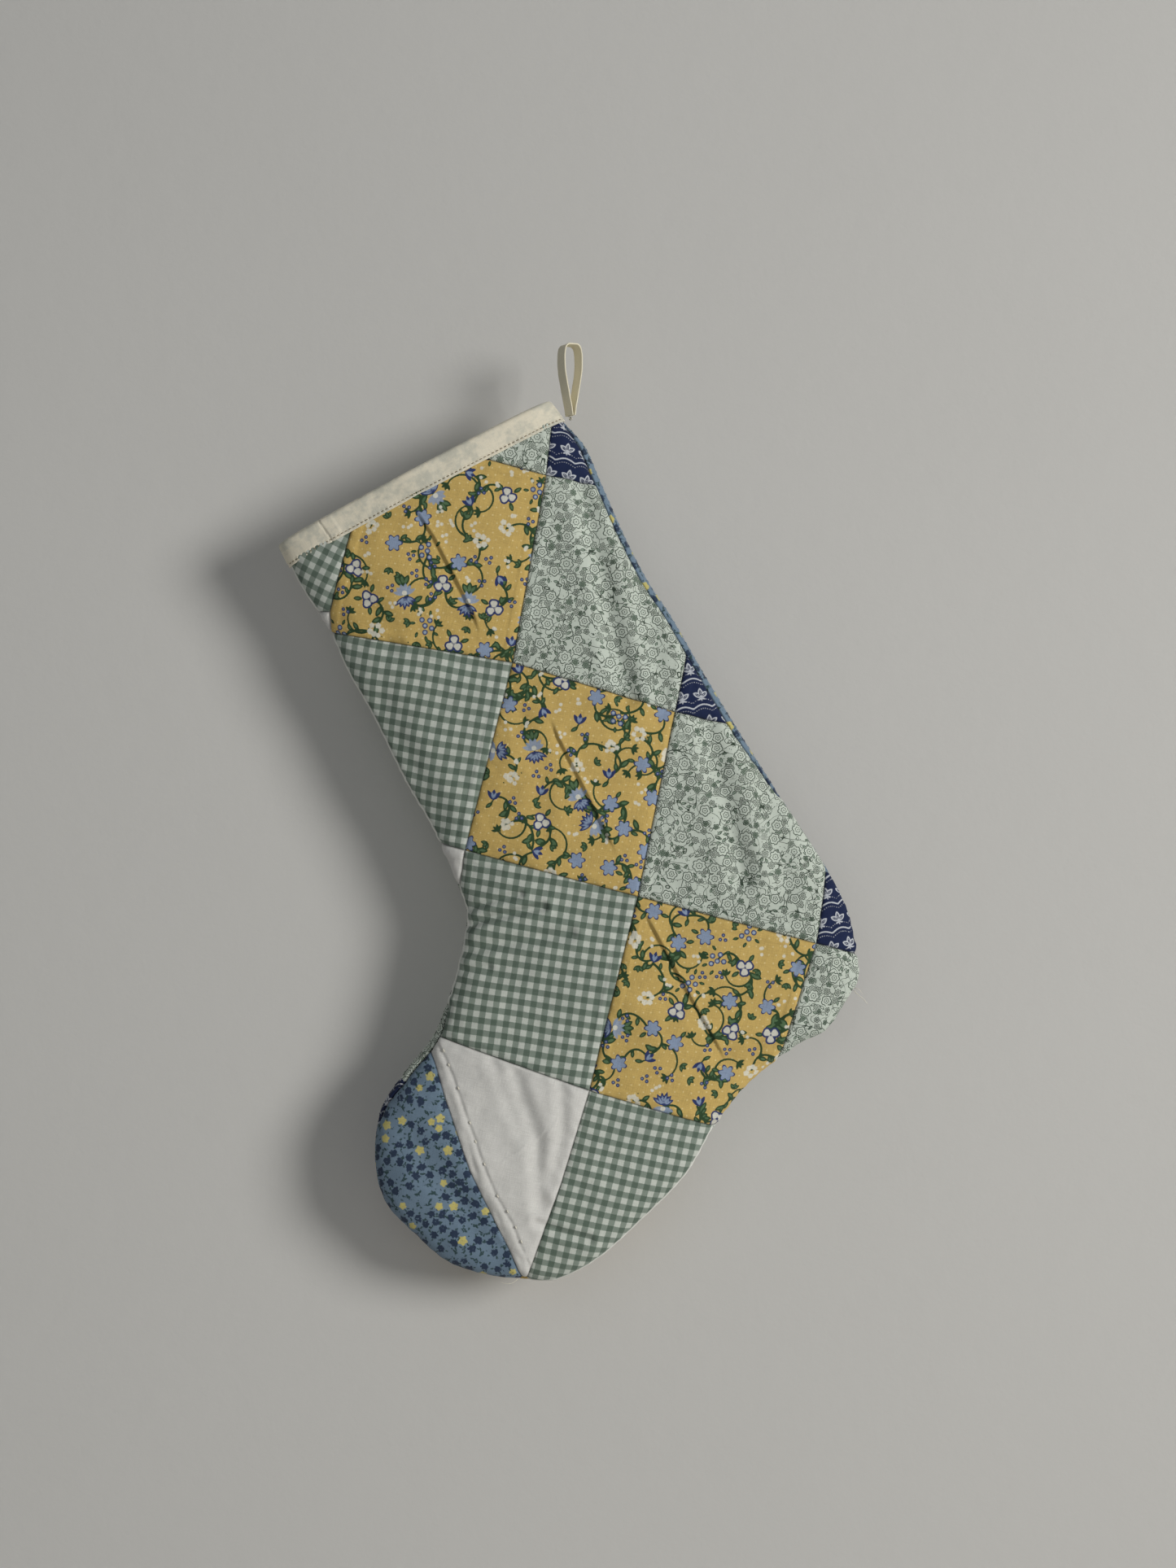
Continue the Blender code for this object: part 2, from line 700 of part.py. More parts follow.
def shift_inside(verts, loop, fixed, amount):
    """Places of the loop's vertices once its edges, but for the fixed ones, move inwards."""
    moved = {}
    for k, here in enumerate(loop):
        before, after = loop[k - 1], loop[(k + 1) % len(loop)]
        normals, amounts = [], []
        for pair in ((before, here), (here, after)):
            start, end = verts[pair[0]], verts[pair[1]]
            length = max(distance(start, end), 1e-9)
            normals.append((-(end[1] - start[1]) / length, (end[0] - start[0]) / length))
            amounts.append(0.0 if pair in fixed else amount)
        (x1, z1), (x2, z2) = normals
        turn = x1 * z2 - z1 * x2
        if abs(turn) > 0.15:
            shift = ((amounts[0] * z2 - amounts[1] * z1) / turn,
                     (x1 * amounts[1] - x2 * amounts[0]) / turn)
        else:
            shift = ((x1 + x2) / 2 * max(amounts), (z1 + z2) / 2 * max(amounts))
        size = math.hypot(*shift)
        if size > 3 * amount:
            shift = (shift[0] * 3 * amount / size, shift[1] * 3 * amount / size)
        moved[here] = (verts[here][0] + shift[0], verts[here][1] + shift[1])
    return moved


# --------------------------------------------------------------------------
# Sheets of cloth
# --------------------------------------------------------------------------


def turn_onto_front(verts, plane, loops, on_rim, index, outer, inner, depth, thickness):
    """Carry the back cloth round the edge onto the front face.

    Adds points to outer and inner, and returns the new triangles.
    """
    turned = {}
    for loop in loops:
        for i in loop:
            if i not in on_rim:
                continue
            inset = front_inset(verts[i])
            reach = (math.sqrt((inset + EDGE_RADIUS) ** 2 - EDGE_RADIUS ** 2)
                     - SEAM_GAP - 0.1)
            if reach < MIN_TURN:
                continue
            inward = rim_distance(plane[i])[1]
            turned[i] = []
            for share in (0.5, 1.0):
                rim = math.sqrt((reach * share) ** 2 + EDGE_RADIUS ** 2) - EDGE_RADIUS
                point = (plane[i][0] + rim * inward[0], plane[i][1] + rim * inward[1])
                known = (rim, inward)
                outer.append(place(point, FRONT, depth, known))
                inner.append(place(point, FRONT, depth + thickness, known))
                turned[i].append(len(outer) - 1)
    tris = []
    for loop in loops:
        for start, end in closed_pairs(loop):
            if start not in on_rim or end not in on_rim:
                continue
            here, beside = index[start], index[end]
            near, far = turned.get(start), turned.get(end)
            if near and far:
                tris += [(beside, here, near[0]), (beside, near[0], far[0]),
                         (far[0], near[0], near[1]), (far[0], near[1], far[1])]
            elif near:
                tris += [(beside, here, near[0]), (beside, near[0], near[1])]
            elif far:
                tris += [(beside, here, far[0]), (far[0], here, far[1])]
    return tris


def cloth_solid(name, verts, tris, side, depth, thickness, cloth, parent,
                gap=0.0, feather=0.0):
    """Closed sheet of cloth over a set of triangles.

    A gap makes it a patch, drawn in from its neighbours; patches on the back
    also turn over the edge.  Feather thins the edge.
    """
    if sum(twice_area(*(verts[i] for i in tri)) for tri in tris) < 0:
        tris = [(tri[0], tri[2], tri[1]) for tri in tris]
    loops = boundary_loops(tris)
    edge = {i for loop in loops for i in loop}

    def reaches_rim(point):
        inset = front_inset(point) if side == FRONT and gap else 0.0
        return rim_distance(point)[0] < inset + 0.08

    on_rim = {i for i in edge if reaches_rim(verts[i])}
    on_top = {i for i in edge if below_cuff(verts[i]) < TOP_CLEARANCE + 0.01}
    feathered = {i for i in edge - on_top if abs(below_ankle(verts[i])) > 0.6}
    plane = dict(enumerate(verts))
    if gap:
        for loop in loops:
            fixed = {pair for pair in closed_pairs(loop)
                     if on_rim.issuperset(pair) or on_top.issuperset(pair)}
            plane.update(shift_inside(verts, loop, fixed, gap / 2))

    used = sorted({i for tri in tris for i in tri})
    index = {i: k for k, i in enumerate(used)}
    outer, inner = [], []
    for i in used:
        known = field(plane[i])
        if side == BACK and i in on_rim:
            known = (0.0, known[1])
        thin = feather if i in feathered else 0.0
        outer.append(place(plane[i], side, depth + thin, known))
        inner_depth = depth + thickness - FEATHER_INNER_SHARE * thin
        inner.append(place(plane[i], side, inner_depth, known))
    sheet = [tuple(index[i] for i in tri) for tri in tris]
    if gap and side == BACK:
        sheet += turn_onto_front(verts, plane, loops, on_rim, index, outer, inner,
                                 depth, thickness)

    count = len(outer)
    faces = sheet + [(tri[2] + count, tri[1] + count, tri[0] + count) for tri in sheet]
    for loop in boundary_loops(sheet):
        for here, beside in closed_pairs(loop):
            faces += [(beside, here, here + count), (beside, here + count, beside + count)]
    add_piece(name, outer + inner, faces, cloth, parent)


def build_panel(side, rim_line, seams, patch_at):
    """All patches of one panel; each cloth is the second word of the patch's name."""
    polygon = divide_open_edge(clip(rim_line, below_open_edge), PANEL_MESH["line_step"])
    lines = [divide(line, PANEL_MESH["line_step"]) for line in seams.values()]
    verts, tris = triangulate(polygon, lines, RIM_ROWS, PANEL_MESH)
    patches = {}
    for tri in tris:
        centre = tuple(sum(verts[i][axis] for i in tri) / 3 for axis in (0, 1))
        patches.setdefault(patch_at(centre), []).append(tri)
    for name, group in sorted(patches.items()):
        on_foot = sum(below_ankle(verts[i]) for tri in group for i in tri) > 0
        cloth_solid(name, verts, group, side, 0.0, PATCH_THICKNESS, name.split("_")[1],
                    "pivot_ankle" if on_foot else LEG_PIVOT[side], gap=SEAM_GAP)


def build_layer(name, side, depth, thickness, setback, cloth, feather=0.0):
    """Batting or lining of one panel, parted at the ankle seam where the foot folds."""
    whole = clip(parallel_line(setback, 9.0), below_open_edge)
    rows = [row for row in RIM_ROWS if row > setback + LAYER_ROW_MARGIN]
    step = LAYER_MESH["line_step"]
    for part, sign, parent in (("leg", -1, LEG_PIVOT[side]), ("foot", 1, "pivot_ankle")):
        polygon = clip(whole, lambda point: sign * below_ankle(point) - 0.4)
        polygon = divide_open_edge(polygon, step)
        polygon = divide_edges(polygon, step,
                               lambda start, end: distance(start, end) > LAYER_LONG_EDGE)
        verts, tris = triangulate(polygon, [], rows, LAYER_MESH)
        cloth_solid(f"{name}_{part}", verts, tris, side, depth, thickness, cloth, parent,
                    feather=feather)


# --------------------------------------------------------------------------
# Cuff binding: a strip folded over the raw top edge, front run and back run
# --------------------------------------------------------------------------
# Distances of the cross sections from each side edge, and how many lie between
CUFF_STATIONS = (0.03, 0.8, 2.5, 5.5, 9.0, 15.0, 24.0, 40.0)
CUFF_MIDDLE_STATIONS = 4
CUFF_COUNT = 2 * len(CUFF_STATIONS) + CUFF_MIDDLE_STATIONS

# Section of the folded strip: (distance below the cuff top, depth under the outer face)
LEG_OUT, LEG_IN = -BINDING_LIFT, BINDING_INNER_DEPTH
BINDING_PROFILE = [
    (BINDING_DEPTH, LEG_OUT - BINDING_THICKNESS), (1.2, LEG_OUT - BINDING_THICKNESS),
    (0.3, LEG_OUT - BINDING_THICKNESS * 0.5), (0.0, 1.2), (0.0, LEG_IN - 1.0),
    (0.4, LEG_IN + 0.7), (1.4, LEG_IN + BINDING_INNER_THICKNESS),
    (BINDING_DEPTH, LEG_IN + BINDING_INNER_THICKNESS), (BINDING_DEPTH, LEG_IN),
    (BINDING_FOLD, LEG_IN), (BINDING_FOLD, LEG_OUT), (BINDING_DEPTH, LEG_OUT),
]
# The section is a deep channel, so its cap is made of three convex parts
BINDING_CAP = [(0, 1, 10, 11), (1, 2, 3, 4, 5, 6, 9, 10), (6, 7, 8, 9)]


def cuff_span(drop):
    """Where the line at a drop below the cuff top meets the two side edges."""
    hits = []
    for start, end in zip(RIM, RIM[1:]):
        at_start, at_end = below_cuff(start) - drop, below_cuff(end) - drop
        if (at_start <= 0 < at_end) or (at_end <= 0 < at_start):
            x, z = blend(start, end, at_start / (at_start - at_end))
            hits.append((x - CUFF_MIDDLE[0]) * ALONG[0] + (z - CUFF_MIDDLE[1]) * ALONG[1])
    return min(hits), max(hits)


def cuff_point(k, drop, side, depth):
    """Point of cross section k, counted from the left."""
    left, right = cuff_span(drop)
    stations = len(CUFF_STATIONS)
    start, sign = left, 1
    if k < stations:
        reach = CUFF_STATIONS[k]
    elif k >= CUFF_COUNT - stations:
        reach, start, sign = CUFF_STATIONS[CUFF_COUNT - 1 - k], right, -1
    else:
        share = (k - stations + 1) / (CUFF_MIDDLE_STATIONS + 1)
        reach = share * (right - left - 2 * CUFF_STATIONS[-1]) + CUFF_STATIONS[-1]
    shrink = 1.0
    if depth > 3.0 and reach < BINDING_INNER_REACH:
        # the inner leg narrows to nothing towards the side seam
        shrink, reach = max(reach / BINDING_INNER_REACH, 0.04), BINDING_INNER_REACH
    run = start + sign * reach
    flat = (CUFF_MIDDLE[0] + run * ALONG[0] + drop * DOWN[0],
            CUFF_MIDDLE[1] + run * ALONG[1] + drop * DOWN[1])
    x, y, z = place(flat, side, depth)
    return (x, y * shrink, z)


def build_binding(word, side):
    parent = LEG_PIVOT[side]
    size = len(BINDING_PROFILE)
    points = [cuff_point(k, drop, side, depth)
              for k in range(CUFF_COUNT) for drop, depth in BINDING_PROFILE]
    faces = band_faces(CUFF_COUNT, size)
    for start in (0, (CUFF_COUNT - 1) * size):
        faces += [tuple(start + i for i in part) for part in BINDING_CAP]
    add_piece(f"{word}_cuff_binding", points, faces, "binding", parent)

    depth = LEG_OUT - BINDING_THICKNESS - TOPSTITCH_LIFT - THREAD_RADIUS
    path = [cuff_point(k, BINDING_DEPTH - TOPSTITCH_RISE, side, depth)
            for k in range(1, CUFF_COUNT - 1)]
    sweep_thread(f"{word}_cuff_binding_topstitch", path, parent)


# --------------------------------------------------------------------------
# Threads
# --------------------------------------------------------------------------
# Pieces of the side seam thread, in order along the outline
SEAM_THREADS = [("back_edge_seam_thread", "pivot_lift"), ("foot_seam_thread", "pivot_ankle"),
                ("front_edge_seam_thread", "pivot_lift")]
# Control points (x, z) of the stitch line on the toe
TOE_STITCH = [(-69.5, -388.5), (-60.5, -413.0), (-50.5, -443.5), (-39.5, -470.0),
              (-26.5, -497.0)]


def build_seam_threads():
    """Threads along the side seam, parted at the ankle seam."""
    runs, last_on_foot = [], None
    for point in inset_rim(lambda rim_point: SEAM_THREAD_SETBACK):
        drop = below_ankle(point)
        if below_cuff(point) <= BINDING_FOLD + 1.0 or abs(drop) < SEAM_THREAD_ANKLE_GAP:
            continue
        if (drop > 0) != last_on_foot:
            runs.append([])
            last_on_foot = drop > 0
        if not runs[-1] or distance(runs[-1][-1], point) > SEAM_THREAD_STEP:
            runs[-1].append(point)
    for run, (name, parent) in zip(runs, SEAM_THREADS):
        sweep_thread(name, [(x, 0.0, z) for x, z in run], parent)


def build_toe_stitch():
    """One thread along the right-hand edge of the blue toe patch."""
    path = [place(point, FRONT, -STITCH_LIFT - THREAD_RADIUS)
            for point in smooth_curve(TOE_STITCH, 3)]
    sweep_thread("toe_hand_stitch", path, "pivot_ankle")


def build_thread_tail(name, root, tip, bow):
    """Loose thread end that stands clear of the edge it comes from."""
    path = []
    for k in range(6):
        share = k / 5
        x, z = blend(root, tip, share)
        path.append((x, TAIL_Y - bow * math.sin(math.pi * share),
                     z + bow * math.sin(2.2 * share)))
    sweep_thread(name, path, "pivot_ankle", radius=TAIL_RADIUS, up=(0.3, 1.0, 0.2))


# --------------------------------------------------------------------------
# Ribbon loop and its bar tack
# --------------------------------------------------------------------------
HALF_RIBBON = RIBBON_THICKNESS / 2
# Middle line of the loop's right half (across, z), from the seat down
LOOP_SIDE = [(SEAT_HALF_WIDTH, HALF_RIBBON), (4.1, -0.9), (5.0, -4.0), (5.25, -9.0),
             (4.9, -15.0), (3.7, -22.0), (2.4, -29.0), (1.2, -35.0),
             (HALF_RIBBON + 0.2, -39.0)]


def loop_point(x, y, z):
    """Loop point turned about the vertical and leaned towards the tack."""
    turn = math.radians(RIBBON_TURN)
    lean = TACK_AT[0] * z / TACK_AT[1]
    return (x * math.cos(turn) - y * math.sin(turn) + lean,
            x * math.sin(turn) + y * math.cos(turn), z)


def build_hanging_loop():
    line = [(-x, z) for x, z in reversed(LOOP_SIDE)] + LOOP_SIDE
    last = len(line) - 1
    points, faces = [], []
    for i, (x, z) in enumerate(line):
        before, after = line[max(i - 1, 0)], line[min(i + 1, last)]
        length = distance(before, after)
        normal = (-(after[1] - before[1]) / length, (after[0] - before[0]) / length)
        if abs(x) <= SEAT_HALF_WIDTH + 1e-6:
            normal = (0.0, 1.0)   # the seat and the ribbon's ends are not mitred
        for offset in (-HALF_RIBBON, HALF_RIBBON):
            for y in (-RIBBON_WIDTH / 2, RIBBON_WIDTH / 2):
                points.append(loop_point(x + normal[0] * offset, y, z + normal[1] * offset))
    for i in range(last):
        here, beyond = i * 4, i * 4 + 4
        flat = abs(line[i][1] - line[i + 1][1]) < 1e-9
        for first, second in ((0, 1), (1, 3), (3, 2), (2, 0)):
            if flat:
                faces.append((here + first, here + second, beyond + second, beyond + first))
            else:
                faces += [(here + first, here + second, beyond + second),
                          (here + first, beyond + second, beyond + first)]
    end = 4 * last
    faces += [(0, 1, 3, 2), (end, end + 2, end + 3, end + 1)]
    add_piece("hanging_loop", points, faces, "ribbon")


def build_bar_tack():
    """Short rod along y, thickest in the middle."""
    points = []
    for k in range(TACK_RINGS):
        y = TACK_LENGTH * (k / (TACK_RINGS - 1) - 0.5)
        radius = TACK_RADIUS * (0.55 + 0.45 * math.sin(math.pi * (k + 0.5) / TACK_RINGS))
        for j in range(TACK_SIDES):
            angle = 2 * math.pi * j / TACK_SIDES
            points.append((TACK_AT[0] + radius * math.cos(angle), y,
                           TACK_AT[1] + radius * math.sin(angle)))
    faces = band_faces(TACK_RINGS, TACK_SIDES, quads=True) + end_caps(TACK_RINGS, TACK_SIDES)
    add_piece("loop_bar_tack", points, faces, "thread", "pivot_swing")


# --------------------------------------------------------------------------
# Assembly
# --------------------------------------------------------------------------
tack_axis = (TACK_AT[0], 0.0, TACK_AT[1])
fold_axis = (ANKLE_POINT[0], FOLD_AXIS_Y, ANKLE_POINT[1])
pivot("pivot_swing", tack_axis)
pivot("pivot_lift", tack_axis, "pivot_swing")
pivot("pivot_mouth", fold_axis, "pivot_lift")
pivot("pivot_ankle", fold_axis, "pivot_lift")

build_panel(FRONT, inset_rim(front_inset), FRONT_SEAMS, front_patch_at)
build_panel(BACK, RIM, BACK_SEAMS, back_patch_at)
for face_word, face_side in (("front", FRONT), ("back", BACK)):
    build_layer(f"{face_word}_batting", face_side, BATTING_DEPTH, BATTING_THICKNESS,
                BATTING_SETBACK, "batting", feather=BATTING_FEATHER)
    build_layer(f"{face_word}_lining", face_side, LINING_DEPTH, LINING_THICKNESS,
                LINING_SETBACK, "lining")
build_binding("front", FRONT)
build_binding("back", BACK)

build_seam_threads()
build_toe_stitch()
build_thread_tail("heel_thread_tail", (158.9, -359.5), (164.5, -366.0), bow=0.8)
build_thread_tail("toe_thread_tail", (-30.0, -520.2), (-38.0, -521.5), bow=0.5)

build_hanging_loop()
build_bar_tack()
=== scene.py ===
"""A stuffed patchwork stocking that hangs by a ribbon loop in front of a pale wall.

The stocking lies in the XZ plane with its cuff at the top, its heel toward +X and its toe
toward -X. The front faces -Y and the back faces +Y. The origin is at the peg seat, at the top
of the loop. Shapes are worked out in millimetres as plan points (x, z) and turned into metres
when a mesh is made.
"""
import math

import bpy
import numpy as np
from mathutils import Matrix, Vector, kdtree
from mathutils.geometry import delaunay_2d_cdt


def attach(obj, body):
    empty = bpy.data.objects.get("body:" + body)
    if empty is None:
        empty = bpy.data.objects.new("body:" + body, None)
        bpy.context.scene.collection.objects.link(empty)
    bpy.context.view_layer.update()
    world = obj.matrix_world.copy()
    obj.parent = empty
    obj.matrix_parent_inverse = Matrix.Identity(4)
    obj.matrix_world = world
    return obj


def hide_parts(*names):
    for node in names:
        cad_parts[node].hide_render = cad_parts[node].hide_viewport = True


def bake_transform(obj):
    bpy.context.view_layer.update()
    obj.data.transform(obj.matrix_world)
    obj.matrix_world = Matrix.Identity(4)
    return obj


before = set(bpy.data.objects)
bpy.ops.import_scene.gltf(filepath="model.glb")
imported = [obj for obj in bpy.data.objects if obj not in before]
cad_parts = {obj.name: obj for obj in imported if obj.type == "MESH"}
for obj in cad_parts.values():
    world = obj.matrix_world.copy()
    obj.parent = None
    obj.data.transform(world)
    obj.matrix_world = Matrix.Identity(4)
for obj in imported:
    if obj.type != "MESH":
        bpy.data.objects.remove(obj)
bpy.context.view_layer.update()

MM = 0.001

# ---------------------------------------------------------------------------
# Plan of the stocking
# ---------------------------------------------------------------------------
EDGE_RADIUS = 5.0       # rounding of the side edge
CUFF_ANGLE = 28.0       # slope of the cuff line, degrees
CUFF_LEFT = (-153.0, -105.3)
CUFF_RIGHT = (-16.7, -33.8)
ANKLE_POINT = (37.4, -305.6)
ANKLE_ANGLE = 14.8      # fall of the ankle seam toward the heel, degrees
TOP_CLEARANCE = 1.85    # from the cuff line down to the patches' top edge
LINING_DEPTH = 6.0      # layers' depths under the outer face
BATTING_DEPTH = 2.55

# Outline as (x, z), clockwise from the cuff's right end
BACK_EDGE = [(-16.0, -26.0), (-9.5, -34.7), (-4.0, -42.0), (2.0, -49.0), (8.0, -56.5),
             (17.5, -78.0), (32.0, -110.5), (44.0, -133.0), (55.0, -149.5),
             (75.5, -185.0), (101.5, -227.5), (126.5, -266.0), (142.5, -291.0)]
HEEL = [(153.5, -313.0), (159.0, -337.0), (160.0, -351.5), (154.5, -361.5),
        (142.0, -380.0), (128.5, -387.0)]
SOLE = [(115.5, -396.0), (96.0, -412.5), (78.5, -436.5), (64.0, -460.5),
        (39.5, -485.5), (16.0, -506.5), (-1.5, -516.5), (-12.0, -519.5)]
TOE = [(-26.0, -518.5), (-44.5, -516.0), (-67.5, -508.5), (-86.0, -493.0),
       (-101.5, -476.5), (-107.5, -456.0), (-105.0, -426.0), (-91.5, -404.0)]
INSTEP = [(-75.5, -384.0), (-65.5, -358.0), (-58.0, -327.5), (-57.0, -315.0),
          (-63.0, -297.5), (-77.5, -265.5)]
FRONT_EDGE = [(-90.0, -244.0), (-110.5, -203.0), (-124.0, -179.0), (-132.0, -161.0),
              (-146.5, -138.0), (-154.5, -123.5), (-159.8, -113.0), (-165.0, -103.0)]
OUTLINE = BACK_EDGE + HEEL + SOLE + TOE + INSTEP + FRONT_EDGE


# ---------------------------------------------------------------------------
# Curves, falloffs and noise
# ---------------------------------------------------------------------------
def smooth_curve(points, steps):
    """Centripetal Catmull-Rom curve through the control points."""
    points = [np.array(p, float) for p in points]
    ends = [2 * points[0] - points[1]] + points + [2 * points[-1] - points[-2]]
    out = []
    for i in range(1, len(ends) - 2):
        p0, p1, p2, p3 = ends[i - 1:i + 3]
        t1 = np.linalg.norm(p1 - p0) ** 0.5
        t2 = t1 + np.linalg.norm(p2 - p1) ** 0.5
        t3 = t2 + np.linalg.norm(p3 - p2) ** 0.5
        for k in range(steps):
            t = t1 + (t2 - t1) * k / steps
            a1 = p0 + (p1 - p0) * t / t1
            a2 = p1 + (p2 - p1) * (t - t1) / (t2 - t1)
            a3 = p2 + (p3 - p2) * (t - t2) / (t3 - t2)
            b1 = a1 + (a2 - a1) * t / t2
            b2 = a2 + (a3 - a2) * (t - t1) / (t3 - t1)
            out.append(b1 + (b2 - b1) * (t - t1) / (t2 - t1))
    out.append(points[-1])
    return np.array(out)


def lengths_along(line):
    """Length from the start of a polyline to each of its points."""
    return np.concatenate([[0.0], np.cumsum(np.linalg.norm(np.diff(line, axis=0), axis=1))])


def respace(line, step):
    """A polyline with points about a step apart that keeps its own corners."""
    line = np.asarray(line, float)
    out = [line[:1]]
    for a, b in zip(line, line[1:]):
        count = max(1, int(round(np.linalg.norm(b - a) / step)))
        out.append(a + (b - a) * (np.arange(1, count + 1) / count)[:, None])
    return np.concatenate(out)


def even(line, step):
    """A smooth polyline sampled evenly along its length."""
    length = lengths_along(line)
    count = max(2, int(round(length[-1] / step)) + 1)
    at = np.linspace(0.0, length[-1], count)
    return np.c_[np.interp(at, length, line[:, 0]), np.interp(at, length, line[:, 1])]


def unit(vectors):
    return vectors / np.maximum(np.linalg.norm(vectors, axis=1), 1e-9)[:, None]


def smooth(value, low, high):
    """0 at low, 1 at high, with a soft start and end."""
    t = np.clip((value - low) / (high - low), 0.0, 1.0)
    return t * t * (3 - 2 * t)


def fade(distance, width):
    return np.exp(-distance / width)


def bell(offset, width):
    return np.exp(-((offset / width) ** 2))


def waves(points, size, seed, count=9):
    """Sum of a few plane waves whose lengths lie around a size; about -1 to 1."""
    rng = np.random.default_rng(seed)
    out = np.zeros(len(points))
    for _ in range(count):
        angle = rng.uniform(0, 2 * math.pi)
        pace = 2 * math.pi / (size * rng.uniform(0.7, 1.6))
        forward = points[:, 0] * math.cos(angle) + points[:, 1] * math.sin(angle)
        out += np.sin(pace * forward + rng.uniform(0, 2 * math.pi))
    return out / math.sqrt(count * 2.0)


def line_info(points, line):
    """Signed distance to a polyline (positive on its left) and share along it."""
    line = np.asarray(line, float)
    best = np.full(len(points), 1e9)
    sign = np.ones(len(points))
    along = np.zeros(len(points))
    start = lengths_along(line)
    for k, (a, b) in enumerate(zip(line, line[1:])):
        length = np.linalg.norm(b - a)
        ahead = (b - a) / length
        away = points - a
        t = np.clip(away @ ahead, 0.0, length)
        distance = np.linalg.norm(away - t[:, None] * ahead, axis=1)
        use = distance < best
        best = np.where(use, distance, best)
        sign = np.where(use, np.sign(ahead[0] * away[:, 1] - ahead[1] * away[:, 0]), sign)
        along = np.where(use, start[k] + t, along)
    return best * sign, along / start[-1]


def point_tree(points):
    tree = kdtree.KDTree(len(points))
    for i, (x, z) in enumerate(points.tolist()):
        tree.insert((x, z, 0.0), i)
    tree.balance()
    return tree


def nearest(tree, points):
    return np.array([tree.find((x, z, 0.0))[1] for x, z in points.tolist()], int)


def tree_distance(tree, points):
    return np.array([tree.find((x, z, 0.0))[2] for x, z in points.tolist()])


# ---------------------------------------------------------------------------
# The stuffed shape: distance from the side seam, and the outer face built on it
# ---------------------------------------------------------------------------
RIM = smooth_curve(OUTLINE, 6)
FINE_RIM = even(smooth_curve(OUTLINE, 24), 0.25)
FINE_LENGTH = lengths_along(FINE_RIM)
RIM_TANGENT = unit(np.gradient(FINE_RIM, axis=0))
FINE_NORMAL = np.c_[RIM_TANGENT[:, 1], -RIM_TANGENT[:, 0]]    # inward, as the outline is clockwise
RIM_TREE = point_tree(FINE_RIM)
CLOSE_TO_RIM = 1.5


def rim_info(points):
    """Signed distance from the side seam, length along it, and the direction inward."""
    index = nearest(RIM_TREE, points)
    away = points - FINE_RIM[index]
    normal = FINE_NORMAL[index]
    flat = (away * normal).sum(1)
    far = np.linalg.norm(away, axis=1)
    close = far < CLOSE_TO_RIM
    distance = np.where(close, flat, np.sign(flat) * far)
    radial = away * np.sign(flat)[:, None] / np.maximum(far, 1e-6)[:, None]
    return distance, FINE_LENGTH[index], np.where(close[:, None], normal, radial)


GRID = 1.5
GRID_X = np.arange(-186.0, 190.0, GRID)
GRID_Z = np.arange(-546.0, 12.0, GRID)


def soft_grid():
    """A smooth stand-in for the distance from every part of the seam at once."""
    xx, zz = np.meshgrid(GRID_X, GRID_Z, indexing="ij")
    total = np.zeros_like(xx)
    for a, b in zip(RIM, RIM[1:]):
        edge = b - a
        length = math.hypot(*edge)
        to_x, to_z = a[0] - xx, a[1] - zz
        start = (to_x * edge[0] + to_z * edge[1]) / length
        end = start + length
        off = np.maximum(np.abs(to_x * edge[1] - to_z * edge[0]) / length, 1e-3)
        total += (np.arctan(end / off) - np.arctan(start / off)) / off
    return math.pi / total


SOFT = soft_grid()
SOFT_SLOPE_X, SOFT_SLOPE_Z = np.gradient(SOFT, GRID)


def sample(grid, points):
    """Bilinear reading of a grid."""
    column = np.clip((points[:, 0] - GRID_X[0]) / GRID, 0, len(GRID_X) - 1.001)
    row = np.clip((points[:, 1] - GRID_Z[0]) / GRID, 0, len(GRID_Z) - 1.001)
    i, j = column.astype(int), row.astype(int)
    right, up = column - i, row - j
    return ((grid[i, j] * (1 - right) + grid[i + 1, j] * right) * (1 - up)
            + (grid[i, j + 1] * (1 - right) + grid[i + 1, j + 1] * right) * up)


def field(points, info=None):
    """Soft distance and its gradient, exact beside the seam."""
    distance, _, inward = info if info is not None else rim_info(points)
    inside = np.maximum(distance, 0.0)
    share = smooth(distance, 0.6, 4.5)
    soft = inside * (1 - share) + np.minimum(sample(SOFT, points), inside) * share
    slope = np.c_[sample(SOFT_SLOPE_X, points), sample(SOFT_SLOPE_Z, points)]
    return np.maximum(soft, 0.0), inward * (1 - share)[:, None] + slope * share[:, None]


def loft(soft):
    """Half thickness of the stocking at a soft distance."""
    return EDGE_RADIUS * np.arccosh(1.0 + soft / EDGE_RADIUS)


def edge_run(distance):
    """Length of cloth from the seam, round the rounded edge, to a plan distance."""
    return np.sqrt(np.maximum((distance + EDGE_RADIUS) ** 2 - EDGE_RADIUS ** 2, 0.0))


def place(points, side, depth, known):
    """Points at a depth under the outer face, in millimetres; side -1 is the front."""
    soft, slope = known
    lean = EDGE_RADIUS / (soft + EDGE_RADIUS)
    rise = edge_run(soft) / (soft + EDGE_RADIUS)
    return np.c_[points[:, 0] + depth * lean * slope[:, 0],
                 side * (loft(soft) - depth * rise),
                 points[:, 1] + depth * lean * slope[:, 1]]


CUFF_ALONG = np.array([math.cos(math.radians(CUFF_ANGLE)), math.sin(math.radians(CUFF_ANGLE))])
CUFF_DOWN = np.array([CUFF_ALONG[1], -CUFF_ALONG[0]])
CUFF_MIDDLE = (np.array(CUFF_LEFT) + np.array(CUFF_RIGHT)) / 2
ANKLE_ALONG = (math.cos(math.radians(ANKLE_ANGLE)), -math.sin(math.radians(ANKLE_ANGLE)))


def below_cuff(points):
    return (points - CUFF_MIDDLE) @ CUFF_DOWN


def below_ankle(points):
    return ((points[:, 0] - ANKLE_POINT[0]) * ANKLE_ALONG[1]
            - (points[:, 1] - ANKLE_POINT[1]) * ANKLE_ALONG[0])


